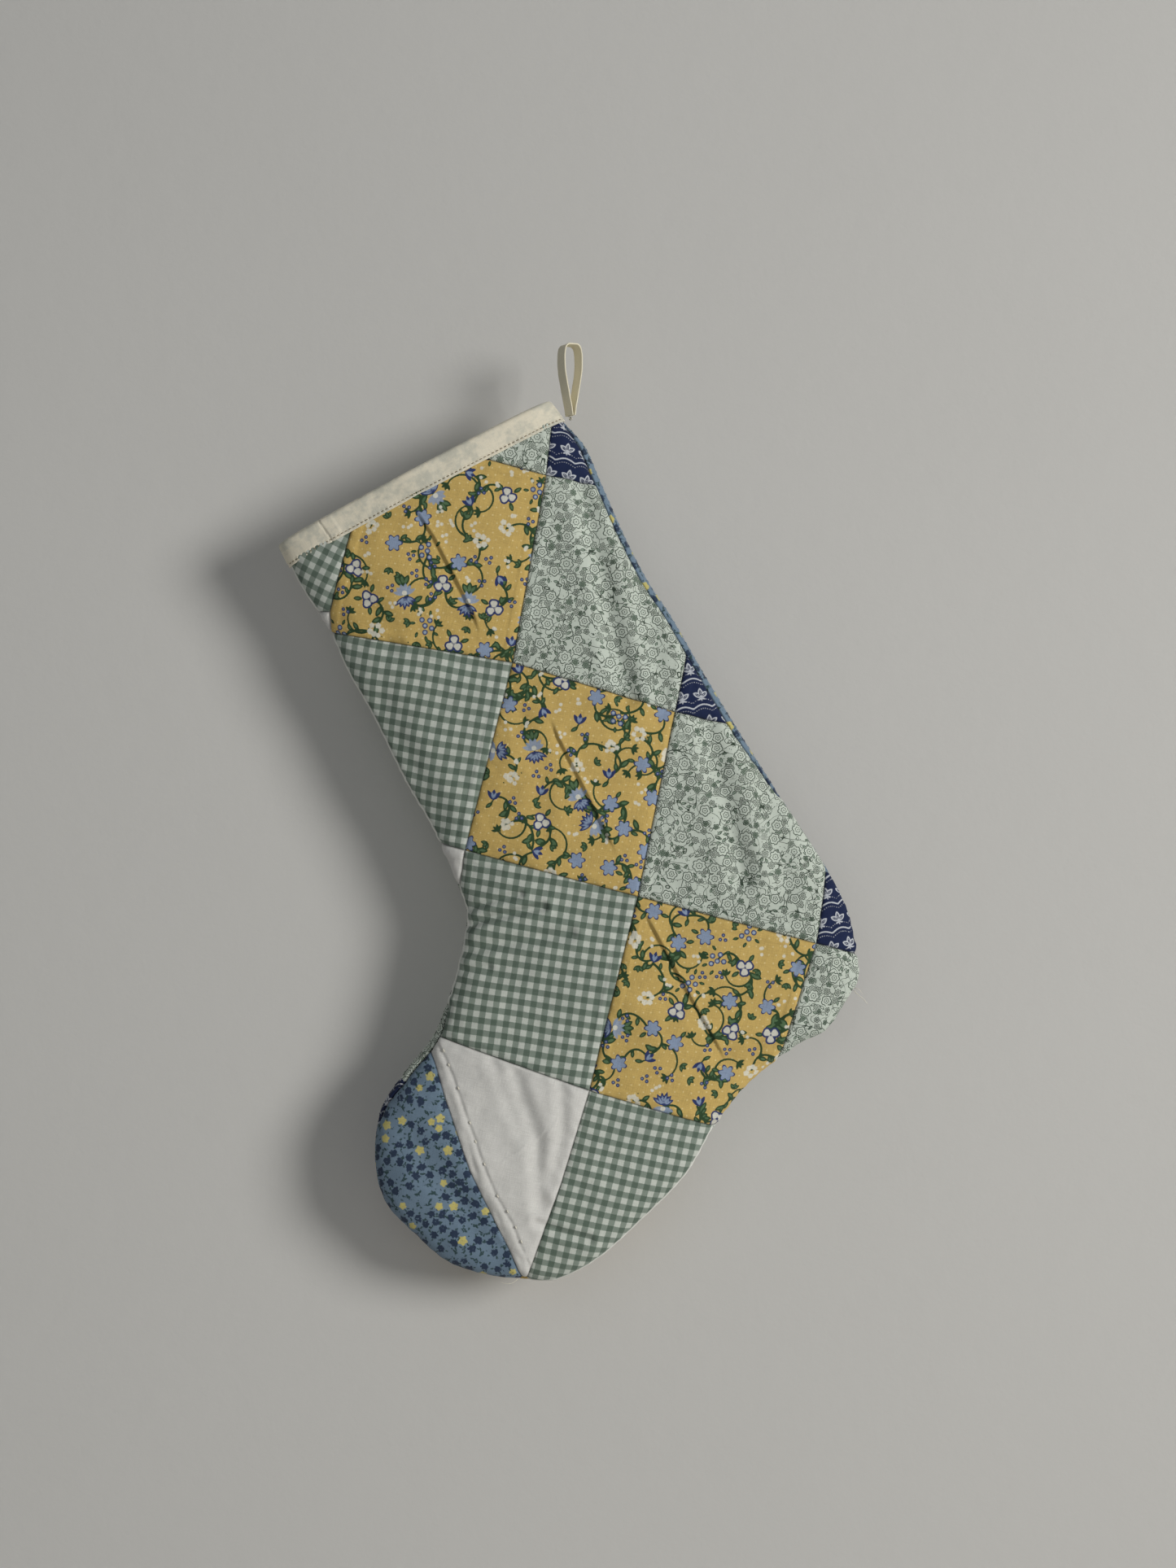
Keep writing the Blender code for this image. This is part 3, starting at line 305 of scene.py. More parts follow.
# ---------------------------------------------------------------------------
# Patchwork seams and the patches between them
# ---------------------------------------------------------------------------
def row_point(row, column):
    """Point on the back's slanted patch grid."""
    return (ANKLE_POINT[0] + (row - 2) * -23.1 + (column - 1) * 97.0,
            ANKLE_POINT[1] + (row - 2) * -103.2 + (column - 1) * -25.6)


def ankle_at(x):
    return (x, ANKLE_POINT[1] + (x - ANKLE_POINT[0]) * ANKLE_ALONG[1] / ANKLE_ALONG[0])


# Rows run across the stocking and columns run down it; points are (x, z)
FRONT_SEAMS = {
    "row0": [(-105.0, -49.0), (-13.0, -73.5), (82.5, -89.0)],
    "row1_left": [(-170.0, -148.5), (-132.9, -148.5)],
    "row1": [(-132.9, -160.0), (-31.5, -177.0), (58.0, -204.0), (153.5, -223.5)],
    "ankle": [ankle_at(x) for x in (-120.0, -58.0, 37.4, 136.0, 190.0)],
    "row3": [(-77.0, -381.8), (10.8, -412.5), (102.0, -440.0)],
    "column_left": [(-105.0, -49.0), (-132.9, -148.5), (-132.9, -160.0), (-133.5, -172.0)],
    "column0": [(-2.3, 29.0), (-13.0, -73.5), (-31.5, -177.0), ankle_at(-58.0), (-75.5, -382.3)],
    "column1": [(82.5, -89.0), (58.0, -204.0), ankle_at(37.4), (10.8, -412.5),
                (-4.5, -463.0), (-25.5, -522.0)],
    "column2": [(153.5, -223.5), ankle_at(136.0), (102.0, -440.0)],
    "toe": [(-81.0, -384.0), (-75.0, -397.0), (-68.5, -418.0), (-55.0, -457.0), (-34.5, -499.0),
            (-23.5, -524.0)],
}
BACK_SEAMS = {
    "row0": [row_point(0.15, -2.0), row_point(0.15, 0.62)],
    "row1": [row_point(1.1, -2.0), row_point(1.1, 1.28)],
    "ankle": FRONT_SEAMS["ankle"],
    "row3": [row_point(3.25, -2.0), row_point(3.25, 3.0)],
    "strip": [(-30.0, -22.0), (-14.0, -62.0), (30.0, -170.0), (88.0, -262.0), ankle_at(112.0)],
    "column_left": [row_point(-1.5, -0.55), row_point(2.0, -0.55)],
    "column0": [row_point(-0.6, 0.42), row_point(4.6, 0.42)],
    "column1": [row_point(2.0, 1.45), row_point(4.6, 1.45)],
    "column2": [row_point(2.0, 2.02), row_point(3.6, 2.02)],
}


def on_line(line, value, axis):
    """The line's other coordinate at a value of one coordinate, carried on past its ends."""
    points = np.array(sorted(line, key=lambda p: p[axis]), float)
    key, out = points[:, axis], points[:, 1 - axis]
    i = np.clip(np.searchsorted(key, value) - 1, 0, len(key) - 2)
    return out[i] + (out[i + 1] - out[i]) * (value - key[i]) / np.maximum(key[i + 1] - key[i], 1e-9)


def seam_tests(points, seams):
    """Tests for lying above, left of and right of a named seam."""
    x, z = points[:, 0], points[:, 1]
    return (lambda name: z > on_line(seams[name], x, 0),
            lambda name: x < on_line(seams[name], z, 1),
            lambda name: x > on_line(seams[name], z, 1))


def front_patch_at(points):
    z = points[:, 1]
    above, left, _ = seam_tests(points, FRONT_SEAMS)
    leg = np.select(
        [left("column_left") & (z > -148.5),
         left("column_left") & (z > -175.0),
         above("row1") & left("column0") & above("row0"),
         above("row1") & left("column0"),
         above("row1") & above("row0"),
         above("row1") & left("column1"),
         above("row1"),
         left("column0"), left("column1"), left("column2")],
        ["front_gingham_cuff", "front_linen_instep_upper", "front_sage_cuff", "front_yellow_cuff",
         "front_navy_loop_corner", "front_sage_upper_leg", "front_navy_calf",
         "front_gingham_mid_leg", "front_yellow_mid_leg", "front_sage_calf"], "front_navy_heel")
    foot = np.select(
        [above("row3") & left("column0") & (z > -330.0),
         above("row3") & left("column1"),
         above("row3") & left("column2"),
         above("row3"),
         ~left("column1") & left("column2"),
         ~left("column1"),
         ~left("toe")],
        ["front_linen_instep_lower", "front_gingham_instep", "front_yellow_heel",
         "front_sage_heel", "front_gingham_sole", "front_sage_heel", "front_linen_toe"],
        "front_blue_toe")
    return np.where(above("ankle"), leg, foot)


def back_patch_at(points):
    above, left, right = seam_tests(points, BACK_SEAMS)
    leg = np.select(
        [right("strip"),
         above("row0") & right("column_left"),
         above("row0"),
         above("row1") & left("column_left"),
         above("row1") & left("column0"),
         above("row1"),
         left("column0")],
        ["back_blue_calf_strip", "back_yellow_cuff", "back_gingham_cuff", "back_linen_upper_leg",
         "back_sage_upper_leg", "back_navy_upper_leg", "back_gingham_mid_leg"],
        "back_yellow_mid_leg")
    foot = np.select(
        [above("row3") & left("column0"), above("row3") & left("column1"),
         above("row3") & left("column2"), above("row3"), left("column0"), left("column1")],
        ["back_sage_instep", "back_linen_foot", "back_gingham_heel", "back_navy_heel",
         "back_navy_toe", "back_yellow_sole"], "back_sage_sole")
    return np.where(above("ankle"), leg, foot)


def seam_inset(points):
    """How far the side seam sits in front of the rounded edge."""
    x, z = points[:, 0], points[:, 1]

    def bump(start, full, fall, end):
        return np.clip(np.minimum((start - z) / (start - full), (z - end) / (fall - end)), 0.0, 1.0)

    calf = np.where(x > -10.0, bump(-44.0, -62.0, -212.0, -252.0), 0.0)
    instep = np.where(x < -50.0, bump(-366.0, -380.0, -408.0, -432.0), 0.0)
    return 2.3 * np.maximum(calf, instep)


# ---------------------------------------------------------------------------
# Panel meshes: one dense triangulation per panel, then split into patches
# ---------------------------------------------------------------------------
FILL_STEP = 0.8
NAVY_STEP = 0.6       # navy's fine print needs closer points
LINE_STEP = 0.9
RIM_ROWS = (0.10, 0.32, 0.7)            # rows of points just inside the side seam
LINE_CLEARANCE = 0.3                    # loose points stay this far from the seam lines
INSET_SHOWS = 0.12                      # smallest seam inset that makes a turned-over flap
ON_RIM = 0.02


def clip_polygon(line, value):
    """The part of a closed polygon where the value at its points is positive."""
    out = []
    for i in range(len(line)):
        j = (i + 1) % len(line)
        a, b, at_a, at_b = line[i], line[j], value[i], value[j]
        if at_a >= 0:
            out.append(a)
        if (at_a > 0 > at_b) or (at_a < 0 < at_b):
            out.append(a + (b - a) * at_a / (at_a - at_b))
    return np.array(out)


def panel_outline():
    outer = even(smooth_curve(OUTLINE, 12), LINE_STEP)
    outer = clip_polygon(outer, below_cuff(outer) - TOP_CLEARANCE)
    closed = []
    for a, b in zip(outer, np.roll(outer, -1, axis=0)):
        closed.append(a)
        gap = np.linalg.norm(b - a)
        if gap > 3.0:
            count = int(gap / 1.2)
            closed.extend(a + (b - a) * k / count for k in range(1, count))
    return np.array(closed)


def seam_lines(seams, polygon):
    """Seams cut off at the panel's outline and joined to it."""
    def joint(inner, outer):
        middle = outer * 0.5 + inner * 0.5
        return polygon[np.argmin(((polygon - middle) ** 2).sum(1))]

    lines = []
    for line in seams.values():
        points = respace(line, LINE_STEP)
        inside = (rim_info(points)[0] > 0.5) & (below_cuff(points) > TOP_CLEARANCE + 0.4)
        index = np.nonzero(inside)[0]
        if len(index) < 2:
            continue
        for run in np.split(index, np.nonzero(np.diff(index) > 1)[0] + 1):
            part = points[run]
            if run[0] > 0:
                part = np.vstack([joint(part[0], points[run[0] - 1]), part])
            if run[-1] < len(points) - 1:
                part = np.vstack([part, joint(part[-1], points[run[-1] + 1])])
            lines.append(part)
    return lines


def inset_lines():
    """Where the side seam leaves the edge and runs over the front face."""
    inset = seam_inset(FINE_RIM)
    points = FINE_RIM + inset[:, None] * FINE_NORMAL
    runs, current = [], []
    for i in range(0, len(points), 3):
        if inset[i] > INSET_SHOWS:
            current.append(points[i])
        elif current:
            runs.append(np.array(current))
            current = []
    return [run[below_cuff(run) > TOP_CLEARANCE + 0.5] for run in runs]


def inside_grid(step):
    """Staggered grid points inside the outline, row by row."""
    a, b = RIM, np.roll(RIM, -1, axis=0)
    columns = np.arange(-170.0, 170.0, step)
    out = []
    for k, z in enumerate(np.arange(-524.0, 0.0, step * 0.87)):
        hit = (a[:, 1] > z) != (b[:, 1] > z)
        cross = np.sort(a[hit, 0] + (b[hit, 0] - a[hit, 0]) * (z - a[hit, 1])
                        / (b[hit, 1] - a[hit, 1]))
        x = columns + (k % 2) * step / 2
        x = x[np.searchsorted(cross, x) % 2 == 1]
        out.append(np.c_[x, np.full(len(x), z)])
    return np.concatenate(out)


def fill_points(patch_at, lines):
    """Loose points of a panel: rows beside the side seam and a grid inside."""
    keep = [FINE_RIM[::3] + FINE_NORMAL[::3] * row for row in RIM_ROWS]
    for step, for_navy in ((FILL_STEP, False), (NAVY_STEP, True)):
        grid = inside_grid(step)
        navy = np.char.find(patch_at(grid), "navy") >= 0
        grid = grid[navy == for_navy]
        keep.append(grid[(rim_info(grid)[0] > 1.05 + 0.2 * step)
                         & (below_cuff(grid) > TOP_CLEARANCE + 0.6)])
    points = np.concatenate(keep)
    points = points[below_cuff(points) > TOP_CLEARANCE + 0.3]
    tree = point_tree(np.concatenate([respace(line, 0.2) for line in lines if len(line) > 1]))
    return points[tree_distance(tree, points) > LINE_CLEARANCE]


def triangulate(polygon, lines, loose):
    """Triangles inside a closed polygon that keep the given lines as edges."""
    chains, edges, start = [polygon, *lines], [], 0
    for k, chain in enumerate(chains):
        count = len(chain)
        edges += [(start + i, start + i + 1) for i in range(count - 1)]
        if k == 0:
            edges.append((start + count - 1, start))
        start += count
    flat = np.concatenate(chains + [loose])
    out = delaunay_2d_cdt([Vector(p) for p in flat.tolist()], edges, [], 1, 1e-4, False)
    verts = np.array([(v.x, v.y) for v in out[0]])
    tris = np.array([face for face in out[2] if len(face) == 3], int)
    a, b, c = verts[tris[:, 0]], verts[tris[:, 1]], verts[tris[:, 2]]
    area = (b[:, 0] - a[:, 0]) * (c[:, 1] - a[:, 1]) - (c[:, 0] - a[:, 0]) * (b[:, 1] - a[:, 1])
    tris[area < 0] = tris[area < 0][:, ::-1]
    # triangles in the outline's hollows have all their corners on the outline
    on_edge = tree_distance(point_tree(polygon), verts) < 2e-3
    doubt = np.nonzero(on_edge[tris].all(1))[0]
    centre = verts[tris[doubt]].mean(1)
    crosses = np.zeros(len(doubt), int)
    for (x0, z0), (x1, z1) in zip(polygon.tolist(), np.roll(polygon, -1, axis=0).tolist()):
        if z0 != z1:
            over = (centre[:, 1] > min(z0, z1)) & (centre[:, 1] <= max(z0, z1))
            crosses += over & (centre[:, 0] < x0 + (x1 - x0) * (centre[:, 1] - z0) / (z1 - z0))
    keep = np.abs(area) > 1e-5
    keep[doubt[crosses % 2 == 0]] = False
    return verts, tris[keep]


def build_panel(side, seams, patch_at):
    """Plan points, triangles, each triangle's patch, and whether it is turned-over back cloth."""
    polygon = panel_outline()
    lines = seam_lines(seams, polygon) + (inset_lines() if side < 0 else [])
    verts, tris = triangulate(polygon, lines, fill_points(patch_at, lines))
    centre = verts[tris].mean(1)
    names = patch_at(centre)
    flap = np.zeros(len(tris), bool)
    if side < 0:
        distance, _, inward = rim_info(centre)
        rim = FINE_RIM[nearest(RIM_TREE, centre)]
        inset = seam_inset(rim)
        flap = (distance < inset - 0.01) & (inset > INSET_SHOWS)
        names = np.where(flap, back_patch_at(rim + inward * 1.5), names)
    return verts, tris, names, flap


def seam_tree(verts, tris, names, flap):
    """Points along every edge where two different patches meet."""
    codes = np.unique(names, return_inverse=True)[1].ravel() + 1000 * flap
    edges = np.concatenate([tris[:, [0, 1]], tris[:, [1, 2]], tris[:, [2, 0]]])
    owner = np.concatenate([codes, codes, codes])
    key = np.sort(edges, axis=1)
    order = np.lexsort((key[:, 1], key[:, 0]))
    key, owner = key[order], owner[order]
    pairs = key[:-1][(key[1:] == key[:-1]).all(1) & (owner[1:] != owner[:-1])]
    a, b = verts[pairs[:, 0]], verts[pairs[:, 1]]
    return point_tree(np.concatenate([a + (b - a) * k / 4 for k in range(4)]))


# ---------------------------------------------------------------------------
# Relief of the cloth above the outer face
# ---------------------------------------------------------------------------
# Creases in single front patches: patch and line of (x, z)
CREASE_DEPTH = 0.75
CREASES = {
    "front_yellow_cuff": [(-85.95, -90.0), (-74.25, -108.0), (-63.0, -129.6), (-52.2, -151.2),
                          (-48.6, -162.9)],
    "front_yellow_mid_leg": [(-10.8, -206.1), (-6.3, -217.35), (5.4, -240.3), (14.4, -258.3),
                             (27.0, -283.5)],
    "front_yellow_heel": [(39.6, -310.5), (58.5, -345.6), (80.55, -385.2), (88.2, -400.5)],
}
# Broad soft hollows in the front: depth, half width, line of (x, z)
HOLLOWS = [
    (3.0, 6.0, [(7.2, -80.1), (18.9, -134.1), (31.5, -195.3)]),
    (1.3, 6.0, [(40.5, -125.1), (50.4, -192.6)]),
    (2.8, 6.5, [(75.6, -210.6), (85.5, -251.1), (95.4, -296.1)]),
    (1.3, 6.5, [(108.0, -242.1), (119.25, -300.6)]),
    (1.1, 8.0, [(-103.5, -197.1), (-72.0, -264.6)]),
    (2.4, 2.4, [(-64.8, -325.8), (-45.0, -317.7), (-14.4, -311.4)]),
    (1.4, 2.0, [(-63.0, -315.0), (-42.3, -307.8), (-27.0, -304.2)]),
    (1.8, 3.4, [(-64.8, -337.5), (-36.0, -331.2), (0.0, -325.8)]),
    (1.0, 2.4, [(-66.6, -348.3), (-45.0, -344.7)]),
    (0.7, 6.0, [(-63.0, -352.35), (-27.0, -345.6)]),
    (1.7, 4.4, [(-30.6, -404.1), (-18.0, -440.1), (-16.2, -476.1)]),
    (1.0, 3.6, [(-4.5, -406.35), (-3.6, -435.6), (-10.8, -462.6)]),
    (0.9, 3.8, [(-42.3, -395.1), (-27.0, -435.6)]),
    (1.3, 2.6, [(-18.0, -485.1), (-4.5, -491.4), (10.8, -495.0)]),
    (0.8, 5.0, [(-63.0, -175.5), (-42.3, -181.8), (-22.5, -187.2)]),
    (0.9, 8.0, [(54.0, -363.6), (90.0, -360.0), (112.5, -372.6)]),
    (0.9, 4.0, [(81.0, -395.1), (103.5, -388.35)]),
    (1.2, 9.0, [(-90.0, -435.6), (-63.0, -471.6), (-40.5, -503.1)]),
    (0.9, 7.0, [(22.5, -453.6), (58.5, -440.1)]),
    (0.8, 6.0, [(126.0, -345.6), (148.5, -372.6)]),
    (0.7, 6.0, [(-27.0, -206.1), (-17.1, -242.1), (-14.4, -278.1)]),
    (0.7, 7.0, [(-117.0, -125.1), (-99.0, -165.6)]),
]
# The toe patch's fold line
FOLD = [(-73.35, -385.2), (-67.95, -395.1), (-61.2, -411.3), (-54.9, -430.2), (-46.8, -452.7),
        (-39.6, -470.25), (-31.5, -485.1), (-25.2, -500.4)]

SWELL = 0.85            # rise of a patch between its seams
SEAM_DIP = 0.72         # extra drop right at a patchwork seam
SIDE_SEAM_DIP = 0.85    # drop at the side seam
TURN_UNDER = 1.5        # depth of a patch's turned-under edge
CLOTH_RANK = {"gingham": 0, "linen": 1, "blue": 2, "navy": 3, "yellow": 4, "sage": 5}


def hollow(points):
    """Depth of the broad soft hollows, the same through all the layers of the front."""
    dip = np.zeros(len(points))
    for depth, width, line in HOLLOWS:
        off, _ = line_info(points, line)
        dip += depth * bell(off, width) - 0.35 * depth * bell(np.abs(off) - 1.7 * width, width)
    return dip


def crease(points, line):
    """The line's left side stands up sharply and rolls away; the other side lies low."""
    off, along = line_info(points, line)
    ends = smooth(along, 0.0, 0.16) * (1 - smooth(along, 0.80, 1.0))
    wall = smooth(off, -1.25, 0.45)
    high = 1.7 * CREASE_DEPTH * fade(np.maximum(off - 0.5, 0.0), 4.2)
    low = -1.2 * CREASE_DEPTH * fade(np.maximum(-off - 1.1, 0.0), 3.0)
    return ends * (high * wall + low * (1 - wall))


def toe_fold(points):
    """The toe patch is folded along one line and caught down with stitches."""
    x, z = points[:, 0], points[:, 1]
    off, along = line_info(points, FOLD)
    off = -off
    ragged = off + 0.16 * np.sin(along * 17.0) + 0.07 * np.sin(along * 43.0 + 1.0)
    # the step, the groove beside it, the roll beyond, and the pull of the stitches
    height = (0.5 * (1 - smooth(ragged, -0.9, 0.9)) - 0.22 * bell(ragged - 0.9, 0.8)
              + 0.50 * bell(ragged - 3.4, 2.2) + 0.14 * bell(off + 0.6, 1.6) * np.sin(along * 62.0))
    # slanting crumples: height, wave length, noise seed, slant, stretch
    for rise, size, seed, slant, stretch in ((0.25, 11.0, 77, 0.35, 0.25), (0.2, 5.0, 78, 0.55, 0.3)):
        skewed = np.c_[x * 1.6 + z * slant, z * stretch]
        height += rise * waves(skewed, size, seed, 7) * smooth(ragged, 2.0, 6.0)
    # four short ridges in a slanting row
    for k in range(4):
        start = np.array([-4.5 - 7.2 * k, -424.8 - 6.3 * k])
        end = start + np.array([-10.2 - 1.2 * k, -15.6 + 1.8 * k])
        off, along = line_info(points, [start, end])
        height += 0.22 * bell(off, 0.6) * smooth(along, 0, 0.3) * (1 - smooth(along, 0.7, 1.0))
    return height


def relief(points, name, side, seam_gap, info, soft):
    """Height of a patch's cloth above the outer face, in millimetres."""
    rim_gap, rim_length, _ = info
    inset = seam_inset(points)
    run = np.abs(edge_run(np.maximum(rim_gap, 0.0)) - edge_run(inset if side < 0 else 0.0))
    seamed = 1.0 if side < 0 else 1 - smooth(inset, 0.1, 0.6)
    over = float(np.sin(CLOTH_RANK[name.split("_")[1]] * 2.3 + len(name)) > 0)
    height = SWELL * (1 - fade(seam_gap, 6.0)) - SEAM_DIP * fade(seam_gap, 0.9)
    # pressed seam allowance: a low step on the side it is pressed to
    height += over * 0.42 * (1 - smooth(seam_gap, 4.6, 6.4)) * smooth(seam_gap, 0.1, 0.9)
    height -= (1 - over) * 0.10 * fade(seam_gap, 2.5)
    # puckers along the seams and along the side seam
    along_seam = points[:, 0] * 0.83 + points[:, 1] * 0.61
    height += 0.22 * fade(seam_gap, 3.5) * waves(np.c_[along_seam, seam_gap * 0.25], 6.5, 11, 6)
    height += 0.17 * bell(seam_gap, 7.0) * waves(points, 8.0, 12, 8)
    height -= seamed * SIDE_SEAM_DIP * fade(run, 1.3)
    pucker = waves(np.c_[rim_length, run * 0.15], 6.5, 13 + side, 7)
    height += seamed * 0.30 * fade(run, 6.0) * pucker * smooth(run, 0.2, 1.6)
    # slow rolls and small crumples of hand-stuffed cloth
    height += smooth(soft, 0.3, 7.0) * (0.70 * waves(points, 46.0, 21 + side, 10)
                                        + 0.24 * waves(points, 17.0, 22 + side, 10)
                                        + 0.055 * waves(points, 6.0, 24 + side, 8))
    if side < 0:
        if name in CREASES:
            height += crease(points, CREASES[name])
        height -= hollow(points) * (0.12 + 0.88 * smooth(run, 0.5, 9.0))
        if name == "front_linen_toe":
            height += toe_fold(points)
    return height


def flap_relief(points, rim_gap):
    """Height of the back's cloth turned over onto the front, and its run from the side seam."""
    inset = seam_inset(points)
    run = np.abs(edge_run(np.maximum(rim_gap, 0.0)) - edge_run(inset))
    seamed = smooth(inset, 0.1, 0.6)
    height = -0.7 * fade(run, 0.9) * seamed + 0.15 * waves(points, 7.0, 3)
    height *= smooth(rim_gap, 0.0, 0.4)
    return height - (1 - seamed) * SIDE_SEAM_DIP * fade(rim_gap, 1.3), run


PATCHES = {}        # patch name: its parts, as (plan, triangles, xyz, seam gap, under, border)
SEAM_TREES = {}     # side: points along the panel's seams


def on_cloth(points, name, side):
    """Points on the finished surface of a patch, in millimetres."""
    info = rim_info(points)
    known = field(points, info)
    seam_gap = tree_distance(SEAM_TREES[side], points)
    return place(points, side, -relief(points, name, side, seam_gap, info, known[0]), known)


def border_edges(tris):
    edges = np.concatenate([tris[:, [0, 1]], tris[:, [1, 2]], tris[:, [2, 0]]])
    _, first, count = np.unique(np.sort(edges, axis=1), axis=0, return_index=True,
                                return_counts=True)
    return edges[first[count == 1]]


def cut_panel(side, seams, patch_at):
    """Split a panel into its patches' parts and lay them on the stocking."""
    verts, tris, names, flap = build_panel(side, seams, patch_at)
    tree = SEAM_TREES[side] = seam_tree(verts, tris, names, flap)
    all_info = rim_info(verts)
    soft, slope = field(verts, all_info)
    all_gaps = tree_distance(tree, verts)
    for name in np.unique(names).tolist():
        for is_flap in (False, True):
            mine = (names == name) & (flap == is_flap)
            if not mine.any():
                continue
            used, tri = np.unique(tris[mine], return_inverse=True)
            tri = tri.reshape(-1, 3)
            points, known = verts[used], (soft[used], slope[used])
            info = tuple(values[used] for values in all_info)
            on_rim = info[0] < ON_RIM
            inset = seam_inset(points)
            if is_flap:
                height, gap = flap_relief(points, info[0])
            else:
                gap = all_gaps[used]
                height = relief(points, name, side, gap, info, known[0])
            if is_flap or side > 0:
                # flap and back panel meet at the same rim height
                height = np.where(on_rim, -(1 - smooth(inset, 0.1, 0.6)) * SIDE_SEAM_DIP, height)
            # the edge is turned under everywhere but where a flap joins its patch
            border = border_edges(tri)
            joined = on_rim & (inset > INSET_SHOWS) if side > 0 else on_rim & is_flap
            border = border[~(joined[border[:, 0]] & joined[border[:, 1]])]
            # plane triangles face -Y, so the back's are turned round
            if side > 0:
                tri, border = tri[:, ::-1], border[:, ::-1]
            PATCHES.setdefault(name, []).append(
                (points, tri, place(points, side, -height, known), gap,
                 place(points, side, -height + TURN_UNDER, known), border))


# ---------------------------------------------------------------------------
# Mesh output
# ---------------------------------------------------------------------------
def make_mesh(name, xyz, tris, quads, attributes):
    """A smooth-shaded object from points in millimetres, with vector point attributes."""
    mesh = bpy.data.meshes.new(name)
    tris = np.asarray(tris, np.int64).reshape(-1, 3)
    quads = np.asarray(quads, np.int64).reshape(-1, 4)
    mesh.vertices.add(len(xyz))
    mesh.vertices.foreach_set("co", (xyz * MM).astype(np.float32).ravel())
    loops = np.concatenate([tris.ravel(), quads.ravel()]).astype(np.int32)
    mesh.loops.add(len(loops))
    mesh.loops.foreach_set("vertex_index", loops)
    starts = np.concatenate([np.arange(len(tris)) * 3,
                             len(tris) * 3 + np.arange(len(quads)) * 4]).astype(np.int32)
    mesh.polygons.add(len(tris) + len(quads))
    mesh.polygons.foreach_set("loop_start", starts)
    mesh.update(calc_edges=True)
    mesh.validate()
    for key, values in attributes.items():
        attribute = mesh.attributes.new(key, "FLOAT_VECTOR", "POINT")
        attribute.data.foreach_set("vector", np.asarray(values, np.float32).ravel())
    mesh.shade_smooth()
    obj = bpy.data.objects.new(name, mesh)
    bpy.context.scene.collection.objects.link(obj)
    return obj


def cloth_attribute(across, along, seam_gap=5.0):
    """Weave coordinates and distance from the nearest seam."""
    return np.c_[across, along, np.broadcast_to(seam_gap, len(across))]


def hang(obj, material, slot, nodes, body):
    """Material, slot (not used), replaced nodes, and how the piece follows the bodies."""
    obj.data.materials.append(material)
    if nodes:
        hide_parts(*nodes)
    if body == "foot":
        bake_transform(obj)
    elif body == "leg_front":
        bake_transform(obj)
    else:
        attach(obj, body)


# ---------------------------------------------------------------------------
# Printed patterns, drawn as distance fields on the patch's own points
# ---------------------------------------------------------------------------
def aim(angle):
    return np.array([math.cos(angle), math.sin(angle)])


def around(centre, angle, radius):
    return np.asarray(centre) + aim(angle) * radius


class Print:
    """Distance from the drawn shapes, per ink layer, at each of the points."""

    CELL = 6.0
    FAR = 6.0

    def __init__(self, points, layers):
        self.points = points
        self.ink = {layer: np.full(len(points), self.FAR) for layer in layers}
        self.low = points.min(0) - 6
        self.shape = np.floor((points.max(0) + 6 - self.low) / self.CELL).astype(int) + 1
        cell = np.floor((points - self.low) / self.CELL).astype(int)
        flat = cell[:, 0] * self.shape[1] + cell[:, 1]
        self.order = np.argsort(flat, kind="stable")
        self.starts = np.searchsorted(flat[self.order], np.arange(self.shape.prod() + 1))

    def near(self, low, high):
        """Indices of the points in the cells that a box touches."""
        first, last = (np.clip(np.floor((corner - self.low) / self.CELL).astype(int),
                               0, self.shape - 1) for corner in (low, high))
        out = [np.zeros(0, int)]
        for i in range(first[0], last[0] + 1):
            row = i * self.shape[1]
            out.append(self.order[self.starts[row + first[1]]:self.starts[row + last[1] + 1]])
        return np.concatenate(out)

    def draw(self, layer, index, distance):
        self.ink[layer][index] = np.minimum(self.ink[layer][index], distance)

    def put(self, layer, centre, reach, shape):
        centre = np.asarray(centre, float)
        index = self.near(centre - reach - 1, centre + reach + 1)
        if len(index):
            self.draw(layer, index, shape(self.points[index] - centre))

    def dot(self, layer, centre, radius):
        self.put(layer, centre, radius, lambda off: np.linalg.norm(off, axis=1) - radius)

    def stroke(self, layer, line, width, end_width=None):
        line = np.asarray(line, float)
        end_width = width if end_width is None else end_width
        index = self.near(line.min(0) - 3, line.max(0) + 3)
        if not len(index):
            return
        points = self.points[index]
        best = np.full(len(points), 9.0)
        count = len(line) - 1
        for k in range(count):
            edge = line[k + 1] - line[k]
            t = np.clip((points - line[k]) @ edge / max(edge @ edge, 1e-9), 0, 1)
            wide = width + (end_width - width) * (k + t) / count
            off = np.linalg.norm(points - line[k] - t[:, None] * edge, axis=1)
            best = np.minimum(best, off - wide / 2)
        self.draw(layer, index, best)

    def leaf(self, layer, base, angle, length, width, shrink=0.0):
        """A pointed leaf, where two circles overlap."""
        ahead, aside = aim(angle), np.array([-math.sin(angle), math.cos(angle)])
        half_length, half_width = length / 2, width / 2
        radius = (half_length ** 2 + half_width ** 2) / (2 * half_width)
        shift = radius - half_width

        def shape(off):
            x, y = off @ ahead, off @ aside
            return np.maximum(np.hypot(x, y - shift), np.hypot(x, y + shift)) - radius + shrink

        self.put(layer, around(base, angle, half_length), half_length + 1, shape)

    def bloom(self, layer, centre, radius, petals, dip, turn):
        def shape(off):
            bearing = np.arctan2(off[:, 1], off[:, 0]) + turn
            frill = np.abs(np.cos(bearing * petals / 2))
            return (np.hypot(off[:, 0], off[:, 1]) - radius * (1 - dip + dip * frill)) * 0.85

        self.put(layer, centre, radius + 1.5, shape)


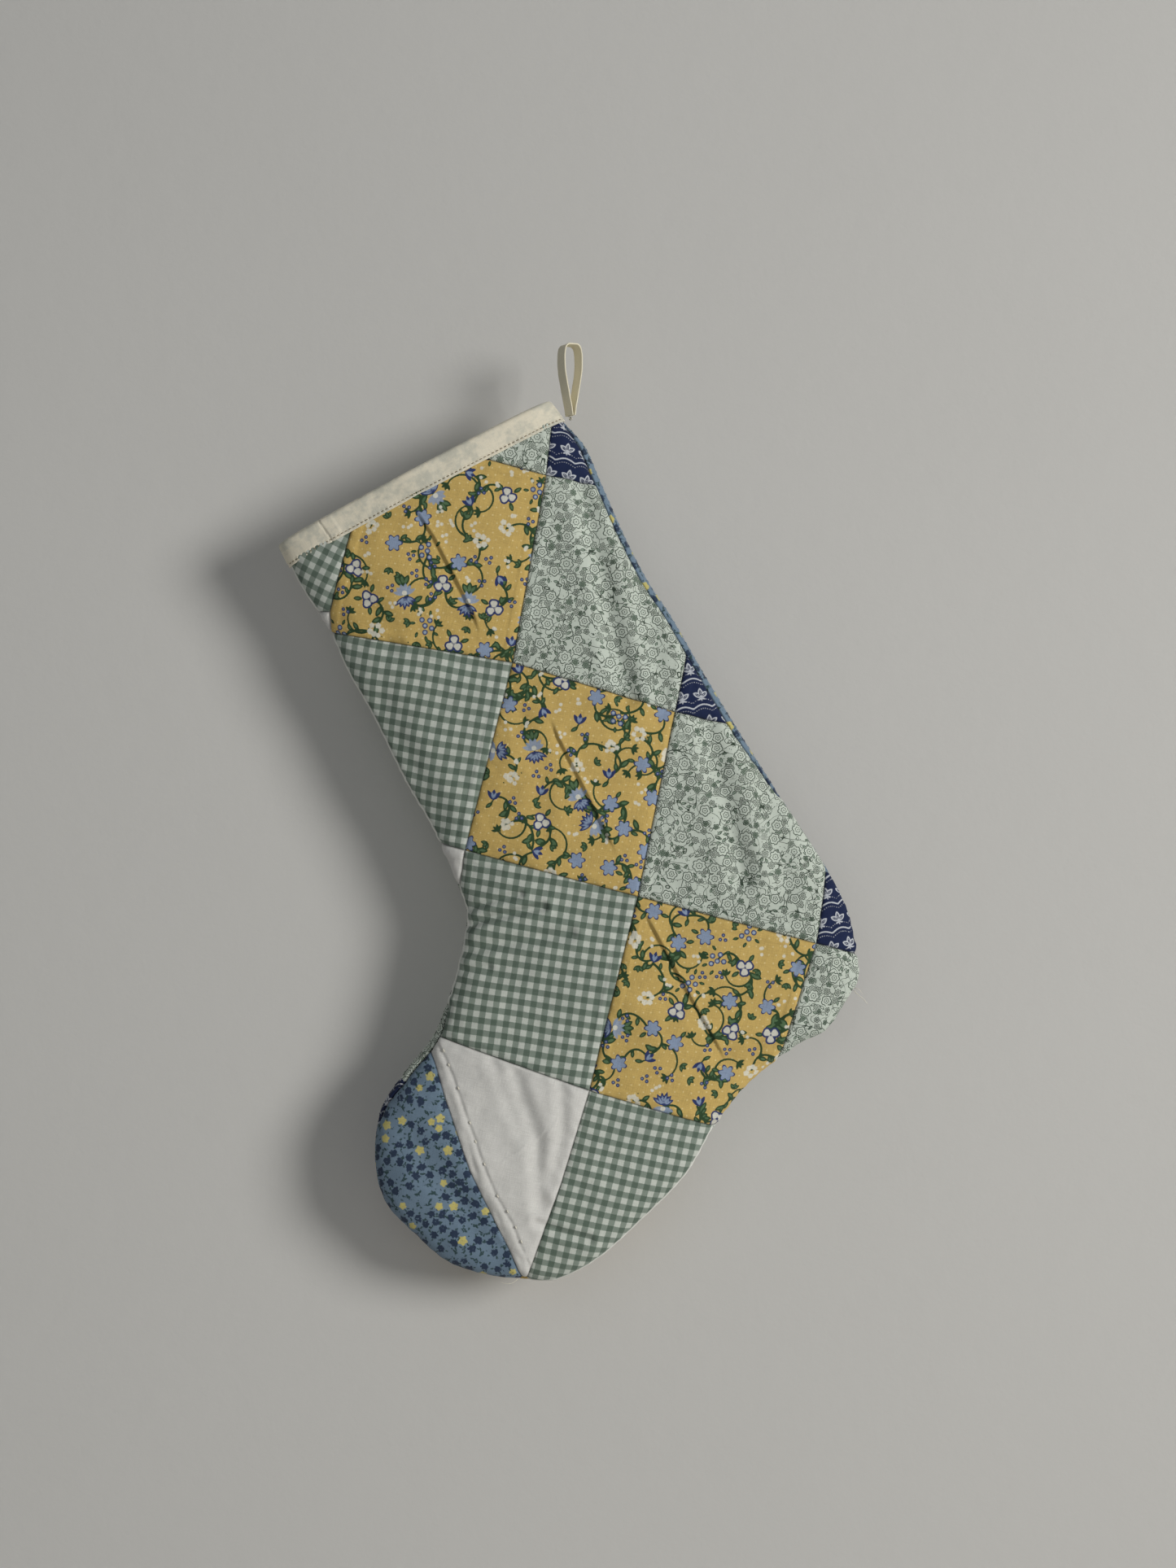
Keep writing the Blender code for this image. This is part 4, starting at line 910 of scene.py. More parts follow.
def scatter(points, gap, rng, tries=12):
    """Evenly spread random sites over the points' box, margins included."""
    low, high = points.min(0) - 4, points.max(0) + 4
    cell = gap / math.sqrt(2)
    grid, sites = {}, []
    count = int(tries * (high - low).prod() / gap ** 2)
    for site in rng.uniform(low, high, (count, 2)):
        column, row = (int((site[k] - low[k]) / cell) for k in (0, 1))
        others = (grid.get((i, j)) for i in range(column - 2, column + 3)
                  for j in range(row - 2, row + 3))
        if all(o is None or (o[0] - site[0]) ** 2 + (o[1] - site[1]) ** 2 >= gap * gap
               for o in others):
            grid[column, row] = site
            sites.append(site)
    return sites


def bezier(a, b, c, d, count):
    t = np.linspace(0, 1, count)[:, None]
    return (1 - t) ** 3 * a + 3 * (1 - t) ** 2 * t * b + 3 * (1 - t) * t * t * c + t ** 3 * d


def pin_dots(points):
    """Distance from pin dots on a staggered, slightly uneven grid."""
    pitch, radius = 3.15, 0.37
    cell = np.floor(points / pitch)
    best = np.full(len(points), 9.0)
    for i in (-1, 0, 1):
        for j in (-1, 0, 1):
            near = cell + (i, j)
            hash_x = np.sin(near[:, 0] * 12.9898 + near[:, 1] * 78.233) * 43758.5453
            hash_y = np.sin(near[:, 0] * 39.3468 + near[:, 1] * 11.135) * 24634.6345
            stray = np.c_[hash_x - np.floor(hash_x), hash_y - np.floor(hash_y)] - 0.5
            dot = (near + 0.5 + 0.22 * stray) * pitch
            dot[:, 0] += (near[:, 1] % 2) * pitch / 2
            off = np.hypot(points[:, 0] - dot[:, 0], points[:, 1] - dot[:, 1])
            best = np.minimum(best, off - radius)
    return best


def leafed(sheet, base, angle, size=1.0):
    """A dark leaf with a paler middle."""
    size *= 1.12
    sheet.leaf("green", base, angle, 4.4 * size, 2.0 * size)
    sheet.leaf("leaf", around(base, angle, 0.9 * size), angle, 2.9 * size, 1.05 * size, 0.05)


def draw_vines(sheet, rng, sites):
    """Vines from site to site, with leaves on both sides and curling tendrils."""
    for site in sites:
        order = sorted(range(len(sites)), key=lambda j: np.hypot(*(sites[j] - site)))[1:4]
        if rng.random() < 0.12:
            continue
        other = sites[order[rng.integers(0, len(order))]]
        edge = other - site
        size = np.hypot(*edge)
        if size > 30:
            continue
        bulge = np.array([-edge[1], edge[0]]) / size * (1 if rng.random() < 0.5 else -1)
        line = bezier(site, site + edge * 0.2 + bulge * size * 0.55,
                      other - edge * 0.35 + bulge * size * 0.42, other - edge * 0.12, 18)
        sheet.stroke("green", line, 0.72, 0.85)
        for t in (3, 6, 9, 12, 14):
            if rng.random() < 0.66:
                step = line[t + 1] - line[t]
                angle = math.atan2(step[1], step[0]) + (0.9 if (t // 3) % 2 else -0.9)
                angle += rng.normal(0, 0.2)
                leafed(sheet, line[t], angle, rng.uniform(0.62, 1.0))
        if rng.random() < 0.6:
            draw_tendril(sheet, rng, line)


def draw_tendril(sheet, rng, line):
    """A curl that leaves the vine and ends in a tuft."""
    base = line[rng.integers(4, 12)]
    start = rng.uniform(0, 2 * math.pi)
    radius = rng.uniform(4.5, 7.5)
    turn = np.linspace(start, start + rng.choice([-1, 1]) * 2.6, 12)
    curl = base + (np.c_[np.cos(turn), np.sin(turn)] - aim(start)) * radius
    sheet.stroke("green", curl, 0.8, 0.6)
    step = curl[-1] - curl[-2]
    for off in (-1.1, -0.45, 0.2, 0.85):
        sheet.leaf("green", curl[-1], math.atan2(step[1], step[0]) + off, 2.9, 1.0)


def fan_flower(sheet, rng, centre, angle):
    """Ragged two-part flower: pale fan behind, dark pointed petals ahead."""
    ahead = aim(angle)
    for turn in np.linspace(-1.2, 1.2, 6):
        length = 4.3 + 0.6 * rng.random()
        sheet.leaf("blue", centre - ahead * 0.3, angle + math.pi + turn, length, 1.6)
    for turn in np.linspace(-1.0, 1.0, 6):
        bearing, length, base = angle + turn, 4.6 + rng.random(), centre + ahead * 0.3
        sheet.leaf("navy", base, bearing, length, 1.45)
        sheet.leaf("blue", around(base, bearing, 0.9), bearing, length * 0.62, 0.7)
    sheet.dot("white", centre - ahead, 1.0)
    for turn in (-0.6, 0.0, 0.6):
        leafed(sheet, centre - ahead * 3.6, angle + math.pi + turn)


def trefoil(sheet, rng, centre, angle):
    """Three round petals with a dark outline."""
    for k in range(3):
        bearing = angle + k * 2.1
        petal = around(centre, bearing, 1.75)
        sheet.bloom("navy", petal, 2.1, 3, 0.16, bearing)
        sheet.bloom("white", petal, 1.42, 3, 0.2, bearing)
    sheet.dot("navy", centre, 0.6)
    for turn in (-0.9, 0.9, 2.6):
        leafed(sheet, around(centre, angle + turn, 2.6), angle + turn, 0.75)


def bell_flower(sheet, rng, centre, angle):
    ahead, aside = aim(angle), aim(angle + math.pi / 2)
    for turn in (-0.62, 0.0, 0.62):
        sheet.leaf("navy", centre - ahead * 1.4, angle + turn, 4.4, 1.5)
    sheet.leaf("blue", centre - ahead, angle + 0.3, 3.0, 0.9)
    sheet.leaf("blue", centre - ahead, angle - 0.3, 3.0, 0.8)
    sheet.stroke("green", [centre - ahead * 1.3, centre - ahead * 3.4 + aside * 0.8], 0.6)
    leafed(sheet, centre - ahead * 2.4, angle + 2.3, 0.7)


def ring_cluster(sheet, rng, centre, angle):
    """Small ring flowers with leaves round them."""
    for k in range(5):
        ring = around(centre, angle + k * 1.2566, 2.6 if k else 0.2)
        for layer, radius in (("navy", 1.05), ("blue", 0.72), ("white", 0.3)):
            sheet.dot(layer, ring, radius)
    for k in range(7):
        bearing = angle + k * 0.9 + 0.4
        leafed(sheet, around(centre, bearing, 3.9), bearing + rng.normal(0, 0.3), 0.52)


def pale_blossom(sheet, rng, centre, angle):
    """Pale blossoms with a few dark seeds."""
    for k in range(6):
        bearing = angle + k * 1.05
        blossom = around(centre, bearing, rng.uniform(1.2, 2.7))
        sheet.bloom("white", blossom, rng.uniform(0.9, 1.35), 5, 0.25, bearing)
    for _ in range(5):
        sheet.dot("green", centre + rng.normal(0, 1.7, 2), 0.33)


def star_flower(sheet, rng, centre, angle):
    sheet.bloom("navy", centre, 3.5, 6, 0.5, angle)
    sheet.bloom("blue", centre, 3.0, 6, 0.46, angle)
    sheet.dot("navy", around(centre, angle, 0.4), 0.7)
    for k in range(3):
        sheet.stroke("navy", [centre, around(centre, angle + k * 2.09 + 0.5, 2.1)], 0.4)
    leafed(sheet, around(centre, angle + math.pi / 2, 2.8), angle + 1.6, 0.7)


FLOWERS = (fan_flower, trefoil, bell_flower, ring_cluster, pale_blossom, star_flower)
FLOWER_CHANCES = [0.12, 0.17, 0.21, 0.12, 0.16, 0.22]


def draw_sprig(sheet, rng, centre):
    angle = rng.uniform(0, 2 * math.pi)
    kind = rng.integers(0, 3)
    if kind == 0:
        for turn in (-0.7, 0.0, 0.7):
            leafed(sheet, centre, angle + turn, 0.6)
    elif kind == 1:
        for k in range(3):
            berry = around(centre, angle + k * 2.09, 1.2)
            sheet.dot("navy", berry, 0.72)
            sheet.dot("blue", berry, 0.36)
    else:
        for _ in range(3):
            sheet.dot("white", centre + rng.normal(0, 1.1, 2), 0.7)


def yellow_print(points, seed):
    """Vines, mixed flowers and pin dots."""
    rng = np.random.default_rng(seed)
    sheet = Print(points, ("dots", "green", "leaf", "navy", "blue", "white"))
    sheet.ink["dots"] = pin_dots(points)
    sites = scatter(points, 10.2, rng)
    kinds = [rng.choice(6, p=FLOWER_CHANCES) for _ in sites]
    draw_vines(sheet, rng, sites)
    for site, kind in zip(sites, kinds):
        FLOWERS[kind](sheet, rng, site, rng.uniform(0, 2 * math.pi))
    # loose sprigs fill the gaps
    sprig_gap = 5.6
    for centre in scatter(points, sprig_gap, rng):
        if min(np.hypot(*(centre - site)) for site in sites) >= sprig_gap:
            draw_sprig(sheet, rng, centre)
    return sheet.ink


def navy_print(points, seed):
    """Rows of low arches edged with dots, with a leaf pair and a bud in every arch."""
    rng = np.random.default_rng(seed)
    sheet = Print(points, ("line", "solid"))
    low, high = points.min(0) - 10, points.max(0) + 10
    tilt = rng.uniform(-0.25, 0.25)
    ahead, up = aim(tilt), np.array([-math.sin(tilt), math.cos(tilt)])
    origin = (low + high) / 2 + up * 3.5
    reach = float(np.hypot(*(high - low))) / 2 + 8
    gap, arch, rise, stagger = 15.0, 11.0, 1.9, 0.31
    rows, arches = int(reach / gap), int(reach / arch)
    for row in range(-rows - 1, rows + 2):
        base = origin + up * row * gap

        def lift(t):
            return rise * np.abs(np.sin(math.pi * (t / arch + stagger * row)))

        t = np.linspace(-reach, reach, int(2 * reach / 0.9))
        sheet.stroke("solid", base + t[:, None] * ahead + lift(t)[:, None] * up, 0.75)
        for off in (3.2, -2.2):
            for t in np.arange(-reach, reach, 1.25):
                sheet.dot("solid", base + ahead * t + up * (off + lift(t)), 0.3)
        for k in range(-arches - 1, arches + 2):
            centre = base + ahead * ((k + 0.5 - stagger * row) * arch) + up * 6.2
            for turn in (0.55, math.pi - 0.55, math.pi / 2):
                angle = tilt + turn
                sheet.leaf("line", centre, angle, 4.6, 2.0)
                vein = [around(centre, angle, 0.6), around(centre, angle, 3.4)]
                sheet.stroke("solid", vein, 0.35)
            sheet.stroke("solid", [centre, centre - up * 2.2], 0.6)
            for turn in (-0.5, math.pi + 0.5):
                sheet.leaf("solid", centre - up * 0.6, tilt + turn, 2.4, 0.9)
    return sheet.ink


def blue_print(points, seed):
    """Small crowded flowers, sprigs and flecks."""
    rng = np.random.default_rng(seed)
    sheet = Print(points, ("navy", "yellow", "green"))
    for centre in scatter(points, 3.4, rng):
        angle = rng.uniform(0, 2 * math.pi)
        kind = rng.random()
        if kind < 0.52:
            for k in range(5):
                bearing = angle + k * 1.2566
                petal = around(centre, bearing, rng.uniform(0.6, 1.15))
                sheet.bloom("navy", petal, rng.uniform(0.7, 1.15), 3, 0.4, bearing)
            for turn in (0.4, 2.9, 4.6):
                base = around(centre, angle + turn, 1.5)
                sheet.leaf("green", base, angle + turn + rng.normal(0, 0.4), 1.6, 0.75)
        elif kind < 0.68:
            radius = rng.uniform(1.5, 2.1)
            sheet.bloom("yellow", centre, radius, 5, 0.34, angle)
            sheet.dot("navy", centre, 0.2)
            for turn in (0.0, 2.2, 4.1):
                base = around(centre, angle + turn, radius + 0.2)
                sheet.leaf("green", base, angle + turn + 0.5, 1.3, 0.6)
        else:
            stem = [around(centre, angle, -1.6), centre, around(centre, angle + 0.3, 1.4)]
            sheet.stroke("green", stem, 0.45)
            for t in (-1.0, 0.0, 1.0):
                turn = 0.9 if t > 0 else -0.9
                sheet.leaf("green", around(centre, angle, t), angle + turn, 1.5, 0.75)
    for centre in scatter(points, 1.9, rng, 5):
        if rng.random() < 0.45:
            layer = "green" if rng.random() < 0.6 else "navy"
            sheet.leaf(layer, centre, rng.uniform(0, 6.3), 0.9, 0.45)
    return sheet.ink


# cloth: drawing function, enlargement, and the ink layers stored in each attribute
PRINTS = {
    "yellow": (yellow_print, 1.42, {"ink_a": ("dots", "green", "leaf"),
                                    "ink_b": ("navy", "blue", "white")}),
    "navy": (navy_print, 1.0, {"ink_a": ("line", "solid", "solid")}),
    "blue": (blue_print, 1.42, {"ink_a": ("navy", "yellow", "green")}),
}


# ---------------------------------------------------------------------------
# Shader graphs
# ---------------------------------------------------------------------------
def linear(red, green, blue):
    """Linear RGBA from 0-255 sRGB."""
    return tuple(((c / 255 + 0.055) / 1.055) ** 2.4 if c > 10 else c / 255 / 12.92
                 for c in (red, green, blue)) + (1.0,)


class Value:
    """A shader output that takes part in arithmetic; each operation is one Math node."""

    def __init__(self, graph, socket):
        self.graph = graph
        self.socket = socket

    def __add__(self, other):
        return self.graph.math("ADD", self, other)

    def __radd__(self, other):
        return self.graph.math("ADD", other, self)

    def __sub__(self, other):
        return self.graph.math("SUBTRACT", self, other)

    def __rsub__(self, other):
        return self.graph.math("SUBTRACT", other, self)

    def __mul__(self, other):
        return self.graph.math("MULTIPLY", self, other)

    def __rmul__(self, other):
        return self.graph.math("MULTIPLY", other, self)

    def __abs__(self):
        return self.graph.math("ABSOLUTE", self)


class Graph:
    """A material's node tree; colours are given as 0-255 sRGB triples."""

    def __init__(self, name):
        self.mat = bpy.data.materials.new(name)
        self.mat.use_nodes = True
        self.tree = self.mat.node_tree
        self.shader = self.tree.nodes["Principled BSDF"]

    def feed(self, socket, value):
        if isinstance(value, Value):
            self.tree.links.new(value.socket, socket)
        else:
            socket.default_value = value

    def make(self, kind, *values, out=0):
        """A node with its first inputs fed; returns one output and the node."""
        node = self.tree.nodes.new(kind)
        for socket, value in zip(node.inputs, values):
            self.feed(socket, value)
        return Value(self, node.outputs[out]), node

    def math(self, operation, a, b=0.0, clamp=False):
        value, node = self.make("ShaderNodeMath", a, b, 0.0)
        node.operation = operation
        node.use_clamp = clamp
        return value

    def maximum(self, a, b):
        return self.math("MAXIMUM", a, b)

    def mix(self, share, a, b, mode="MIX"):
        node = self.tree.nodes.new("ShaderNodeMix")
        node.data_type = "RGBA"
        node.blend_type = mode
        node.clamp_factor = True
        self.feed(node.inputs[0], share)
        for index, colour in ((6, a), (7, b)):
            self.feed(node.inputs[index], linear(*colour) if isinstance(colour, tuple) else colour)
        return Value(self, node.outputs[2])

    def split(self, vector):
        _, node = self.make("ShaderNodeSeparateXYZ", vector)
        return [Value(self, output) for output in node.outputs]

    def attribute(self, name):
        """The three numbers of a mesh attribute."""
        value, node = self.make("ShaderNodeAttribute", out="Vector")
        node.attribute_type = "GEOMETRY"
        node.attribute_name = name
        return self.split(value)

    def pack(self, x, y, z=0.0):
        return self.make("ShaderNodeCombineXYZ", x, y, z)[0]

    def noise(self, vector, scale, detail=2.0, rough=0.5):
        value, node = self.make("ShaderNodeTexNoise", vector)
        node.inputs["Scale"].default_value = scale
        node.inputs["Detail"].default_value = detail
        node.inputs["Roughness"].default_value = rough
        return value

    def scattered(self, vector, gap, loose, shift):
        """Scattered centres: distance and offset from the nearest, and its two random numbers."""
        moved, node = self.make("ShaderNodeVectorMath", vector, (shift * 13.7, shift * 7.9, 0.0))
        node.operation = "ADD"
        cells = self.tree.nodes.new("ShaderNodeTexVoronoi")
        cells.voronoi_dimensions = "2D"
        cells.feature = "F1"
        self.feed(cells.inputs["Vector"], moved)
        cells.inputs["Scale"].default_value = 1.0 / gap
        cells.inputs["Randomness"].default_value = loose
        centre = Value(self, cells.outputs["Position"])
        away, node = self.make("ShaderNodeVectorMath", moved, centre)
        node.operation = "SUBTRACT"
        x, y, _ = self.split(away)
        size, pick, _ = self.split(Value(self, cells.outputs["Color"]))
        return self.math("SQRT", x * x + y * y), x, y, size, pick

    def under(self, value, limit, soft):
        """1 where value is under the limit, with a soft edge."""
        value, node = self.make("ShaderNodeMapRange", value, limit - soft, limit + soft, 1.0, 0.0)
        node.interpolation_type = "SMOOTHSTEP"
        return value

    def bump(self, height, strength, distance):
        value, node = self.make("ShaderNodeBump")
        node.inputs["Strength"].default_value = strength
        node.inputs["Distance"].default_value = distance
        self.feed(node.inputs["Height"], height)
        self.feed(self.shader.inputs["Normal"], value)

    def set_shader(self, **values):
        """Feed the main shader's inputs; underscores in the names stand for spaces."""
        for key, value in values.items():
            self.feed(self.shader.inputs[key.replace("_", " ")], value)


# ---------------------------------------------------------------------------
# Cloth patterns: each gives a colour from the weave coordinates, the fine noise and the ground
# ---------------------------------------------------------------------------
def plain(graph, across, along, fine, ground):
    return ground


def gingham(graph, across, along, fine, ground):
    period = 6.8

    def stripe(coordinate):
        wave = graph.math("SINE", coordinate * (2 * math.pi / period)) + (fine - 0.5) * 0.7
        return graph.under(wave * -1.0, limit=0.0, soft=0.22)

    warp, weft = stripe(across), stripe(along)
    colour = graph.mix(warp, (180, 185, 177), (122, 133, 123))
    colour = graph.mix(weft, colour, graph.mix(warp, (119, 130, 120), (84, 98, 87)))
    # pale line along the front's side seam
    edge = graph.under(graph.attribute("side")[0], limit=1.25, soft=0.35)
    return graph.mix(edge * 0.85, colour, (212, 212, 206))


def yellow_floral(graph, across, along, fine, ground):
    dots, green, leaf = graph.attribute("ink_a")
    navy, blue, white = graph.attribute("ink_b")
    wobble = (fine - 0.5) * 0.35
    colour = graph.mix(graph.under(dots, limit=0.0, soft=0.22) * 0.7, ground, (214, 198, 146))
    # ink distance, colour, limit, softness, strength
    for ink, tint, limit, soft, strength in (
            (green, (38, 62, 36), 0.05, 0.16, None), (leaf, (84, 110, 78), 0.0, 0.22, 0.78),
            (navy, (38, 50, 94), 0.05, 0.16, None), (blue, (132, 147, 170), 0.0, 0.25, 0.9),
            (white, (204, 202, 188), 0.0, 0.25, 0.85)):
        share = graph.under(ink + wobble, limit, soft)
        colour = graph.mix(share * strength if strength else share, colour, tint)
    return colour


def navy_arches(graph, across, along, fine, ground):
    line, solid, _ = graph.attribute("ink_a")
    outline = graph.under(abs(line), limit=0.34, soft=0.17)
    filled = graph.under(solid + (fine - 0.5) * 0.35, limit=0.02, soft=0.18)
    return graph.mix(graph.maximum(outline, filled) * 0.88, ground, (184, 188, 194))


def blue_calico(graph, across, along, fine, ground):
    navy, yellow, green = graph.attribute("ink_a")
    ragged = graph.noise(graph.pack(across, along, 17.0), scale=1.1, detail=2.0, rough=0.7)
    wobble = (ragged - 0.5) * 1.5
    colour = graph.mix(graph.under(navy + wobble, limit=0.0, soft=0.22) * 0.92, ground,
                       (24, 38, 62))
    share = graph.math("MULTIPLY", graph.under(yellow + wobble, limit=0.0, soft=0.22),
                       0.35 + ragged, clamp=True)
    colour = graph.mix(share, colour, (186, 174, 96))
    return graph.mix(graph.under(green + wobble, limit=0.0, soft=0.18) * 0.9, colour, (30, 54, 52))


def mottled_with_fold_shade(graph, across, along, fine, ground):
    """Seam allowance and wadding show through a thin strip; a painted shade line runs along the hem's
    fold.
    """
    patchy = graph.noise(graph.pack(across, along, 5.0), scale=0.11, detail=3.0, rough=0.6)
    blot = graph.noise(graph.pack(across, along, 9.0), scale=0.32, detail=2.0, rough=0.6)
    grey = patchy * 1.3 + blot * 0.5
    colour = graph.mix(graph.under(grey * -1.0, limit=-0.92, soft=0.22), ground, (184, 182, 168))
    # painted shade: a darker line about 12 mm below the cuff line, where the folded hem casts its
    # shadow
    line = graph.under(abs(along - 12.0), limit=0.1, soft=0.5)
    return graph.mix(line * 0.3, colour, (140, 134, 116))


# Rosettes, then small flowers between them: spacing, looseness, pattern shift, least radius,
# added radius, share of sites used, depth of the frill, share of flowers filled
SAGE_FLOWERS = (
    (10.2, 0.75, 0.0, 2.7, 1.2, 0.80, 0.22, 0.0),
    (5.4, 0.85, 4.0, 1.5, 0.6, 0.60, 0.36, 0.30),
)


def sage_floral(graph, across, along, fine, ground):
    """Line-drawn flowers, leaves, curling stems and seeds with some pale fill."""
    under, maximum = graph.under, graph.maximum
    flat = graph.pack(across, along)
    line, tone, free = 0.0, 0.0, 1.0
    for gap, loose, shift, least, more, share, dip, filled in SAGE_FLOWERS:
        near, x, y, size, pick = graph.scattered(flat, gap, loose, shift)
        used = under(pick, limit=share, soft=0.01) * free
        petals = graph.math("FLOOR", size * 2.99) + 5.0
        turn = graph.math("ARCTAN2", y, x) * petals * 0.5
        frill = abs(graph.math("COSINE", turn))
        radius = least + size * more
        rim = near - radius * ((1.0 - dip) + frill * dip)
        core = near - radius * (0.34 + frill * 0.14)
        drawn = maximum(under(abs(rim), limit=0.25, soft=0.07),
                        under(abs(core), limit=0.19, soft=0.07))
        drawn = maximum(drawn, under(near, limit=0.36, soft=0.08))
        line = maximum(line, drawn * used)
        inside = under(rim, limit=0.0, soft=0.06) * under(pick, limit=filled * share, soft=0.01)
        tone = maximum(tone, inside * used)
        free = free * (1.0 - used * under(rim, limit=0.45, soft=0.02))
    # leaves on short stems
    near, x, y, size, pick = graph.scattered(flat, gap=3.3, loose=0.9, shift=8.0)
    swing = graph.math("ARCTAN2", y, x) + size * 6.28
    ahead = near * graph.math("COSINE", swing)
    aside = near * graph.math("SINE", swing)
    leaf = abs(aside) - (0.66 + ahead * ahead * -0.27)
    used = under(pick, limit=0.60, soft=0.01) * free
    edge = under(abs(leaf), limit=0.16, soft=0.06) * under(near, limit=1.65, soft=0.05)
    stem = under(abs(aside), limit=0.15, soft=0.06) * under(abs(ahead + 1.5), limit=1.1, soft=0.06)
    line = maximum(line, maximum(edge, stem) * used)
    body = (under(leaf, limit=0.0, soft=0.06) * under(near, limit=1.6, soft=0.05)
            * under(size, limit=0.55, soft=0.01))
    tone = maximum(tone, body * used)
    # curling stems follow level lines of two slow noises: scale, level, noise depth
    curl = 0.0
    for scale, level, layer in ((0.13, 0.5, 21.0), (0.15, 0.53, 33.0)):
        stray = graph.noise(graph.pack(across, along, layer), scale, detail=0.0)
        curl = maximum(curl, under(abs(stray - level), limit=0.011, soft=0.004))
    line = maximum(line, curl * free)
    # seeds
    near, _, _, _, pick = graph.scattered(flat, gap=2.1, loose=0.95, shift=9.0)
    seeds = under(near, limit=0.25, soft=0.07) * under(pick, limit=0.4, soft=0.01)
    line = maximum(line, seeds * free)
    colour = graph.mix(tone * 0.8, ground, (108, 126, 110))
    return graph.mix(line * 0.95, colour, (38, 52, 40))


# ---------------------------------------------------------------------------
# Cloth materials
# ---------------------------------------------------------------------------
THREAD_PITCH = 0.62     # millimetres between threads of the weave


def cloth_material(name, ground, slub, sheen, pattern=plain, rough=0.88):
    """Woven cotton: ground colour or check, print on top, thread slubs, seam shading, bump."""
    graph = Graph(name)
    across, along, seam_gap = graph.attribute("cloth")
    weft = graph.noise(graph.pack(across * 0.16, along * 2.3), scale=1.0, detail=2.0, rough=0.6)
    warp = graph.noise(graph.pack(across * 2.3, along * 0.16, 7.0),
                       scale=1.0, detail=2.0, rough=0.6)
    fine = graph.noise(graph.pack(across, along, 3.0), scale=3.2, detail=1.0)
    cloud = graph.noise(graph.pack(across, along, 11.0), scale=0.035, detail=2.0)
    pace = 2 * math.pi / THREAD_PITCH
    weave = graph.math("SINE", across * pace) * graph.math("SINE", along * pace)
    threads = weft + warp + -1.0
    colour = pattern(graph, across, along, fine, ground)
    # thread to thread and broad unevenness of the dye
    shade = 1.0 + threads * (slub * 2.2)
    shade = shade + (cloud - 0.5) * 0.16
    shade = shade + (fine - 0.5) * 0.10
    # painted shade in the seam, together with some dirt: the base colour is darkened within about a
    # millimetre of each seam
    shade = shade * (1.0 - graph.under(seam_gap, limit=0.35, soft=0.35) * 0.42)
    graph.set_shader(
        Base_Color=graph.mix(1.0, colour, graph.pack(shade, shade, shade), "MULTIPLY"),
        Roughness=graph.math("ADD", rough, threads * 0.10, clamp=True),
        Specular_IOR_Level=0.25,
        Sheen_Weight=sheen,
        Sheen_Roughness=0.5)
    graph.bump(threads * 1.0 + weave * 0.22 + fine * 0.5, strength=0.35, distance=0.00025)
    return graph.mat


YELLOW = cloth_material("yellow_floral_cotton", (184, 157, 92), slub=0.20, sheen=0.08,
                        pattern=yellow_floral)
SAGE = cloth_material("sage_floral_cotton", (180, 188, 178), slub=0.07, sheen=0.05,
                      pattern=sage_floral)
NAVY = cloth_material("navy_print_cotton", (18, 30, 62), slub=0.12, sheen=0.03,
                      pattern=navy_arches)
BLUE = cloth_material("blue_calico_cotton", (100, 119, 136), slub=0.13, sheen=0.08,
                      pattern=blue_calico)
GINGHAM = cloth_material("sage_gingham_cotton", None, slub=0.12, sheen=0.12, pattern=gingham)
LINEN = cloth_material("white_linen", (194, 193, 189), slub=0.15, sheen=0.10)
LINING = cloth_material("calico_lining", (186, 178, 158), slub=0.12, sheen=0.12)
BATTING = cloth_material("cotton_batting", (206, 203, 194), slub=0.25, sheen=0.4, rough=0.97)
BINDING = cloth_material("cream_binding_cotton", (210, 203, 184), slub=0.06, sheen=0.12,
                         pattern=mottled_with_fold_shade)
RIBBON = cloth_material("ivory_twill_ribbon", (216, 209, 185), slub=0.05, sheen=0.12)
THREAD = cloth_material("sewing_thread", (208, 204, 190), slub=0.2, sheen=0.1)
# topstitch thread darkened as painted shade, standing for the shadowed needle holes along the stitch
# row
STITCH_DARKENED_AS_SHADE = cloth_material("topstitch_thread", (128, 118, 96), slub=0.2, sheen=0.1)
CLOTHS = {
    "yellow": (YELLOW, "yellow_floral"), "sage": (SAGE, "sage_floral"),
    "navy": (NAVY, "navy_print"), "blue": (BLUE, "blue_calico"),
    "gingham": (GINGHAM, "sage_gingham"), "linen": (LINEN, "white_linen"),
}


# ---------------------------------------------------------------------------
# Patches
# ---------------------------------------------------------------------------
# Direction of the weave in degrees, where it differs from the common one
GRAIN = {"front_gingham_cuff": 62.0, "front_gingham_mid_leg": -10.0, "front_gingham_instep": -9.0,
         "front_gingham_sole": -14.0}
COMMON_GRAIN = -ANKLE_ANGLE + 1.3


def unroll(points):
    """Plan coordinates let out by the cloth that turns away over the edge."""
    soft, slope = field(points)
    return points + slope * (edge_run(soft) - soft - EDGE_RADIUS)[:, None]


def weave_coordinates(name, points):
    angle = math.radians(GRAIN.get(name, COMMON_GRAIN))
    cos, sin = math.cos(angle), math.sin(angle)
    seed = sum(ord(letter) for letter in name)
    across = points[:, 0] * cos + points[:, 1] * sin + seed * 1.37
    along = -points[:, 0] * sin + points[:, 1] * cos + seed * 0.71
    # cloth never lies quite straight
    return (across + 0.35 * waves(points, 60.0, seed, 5),
            along + 0.35 * waves(points, 60.0, seed + 1, 5))


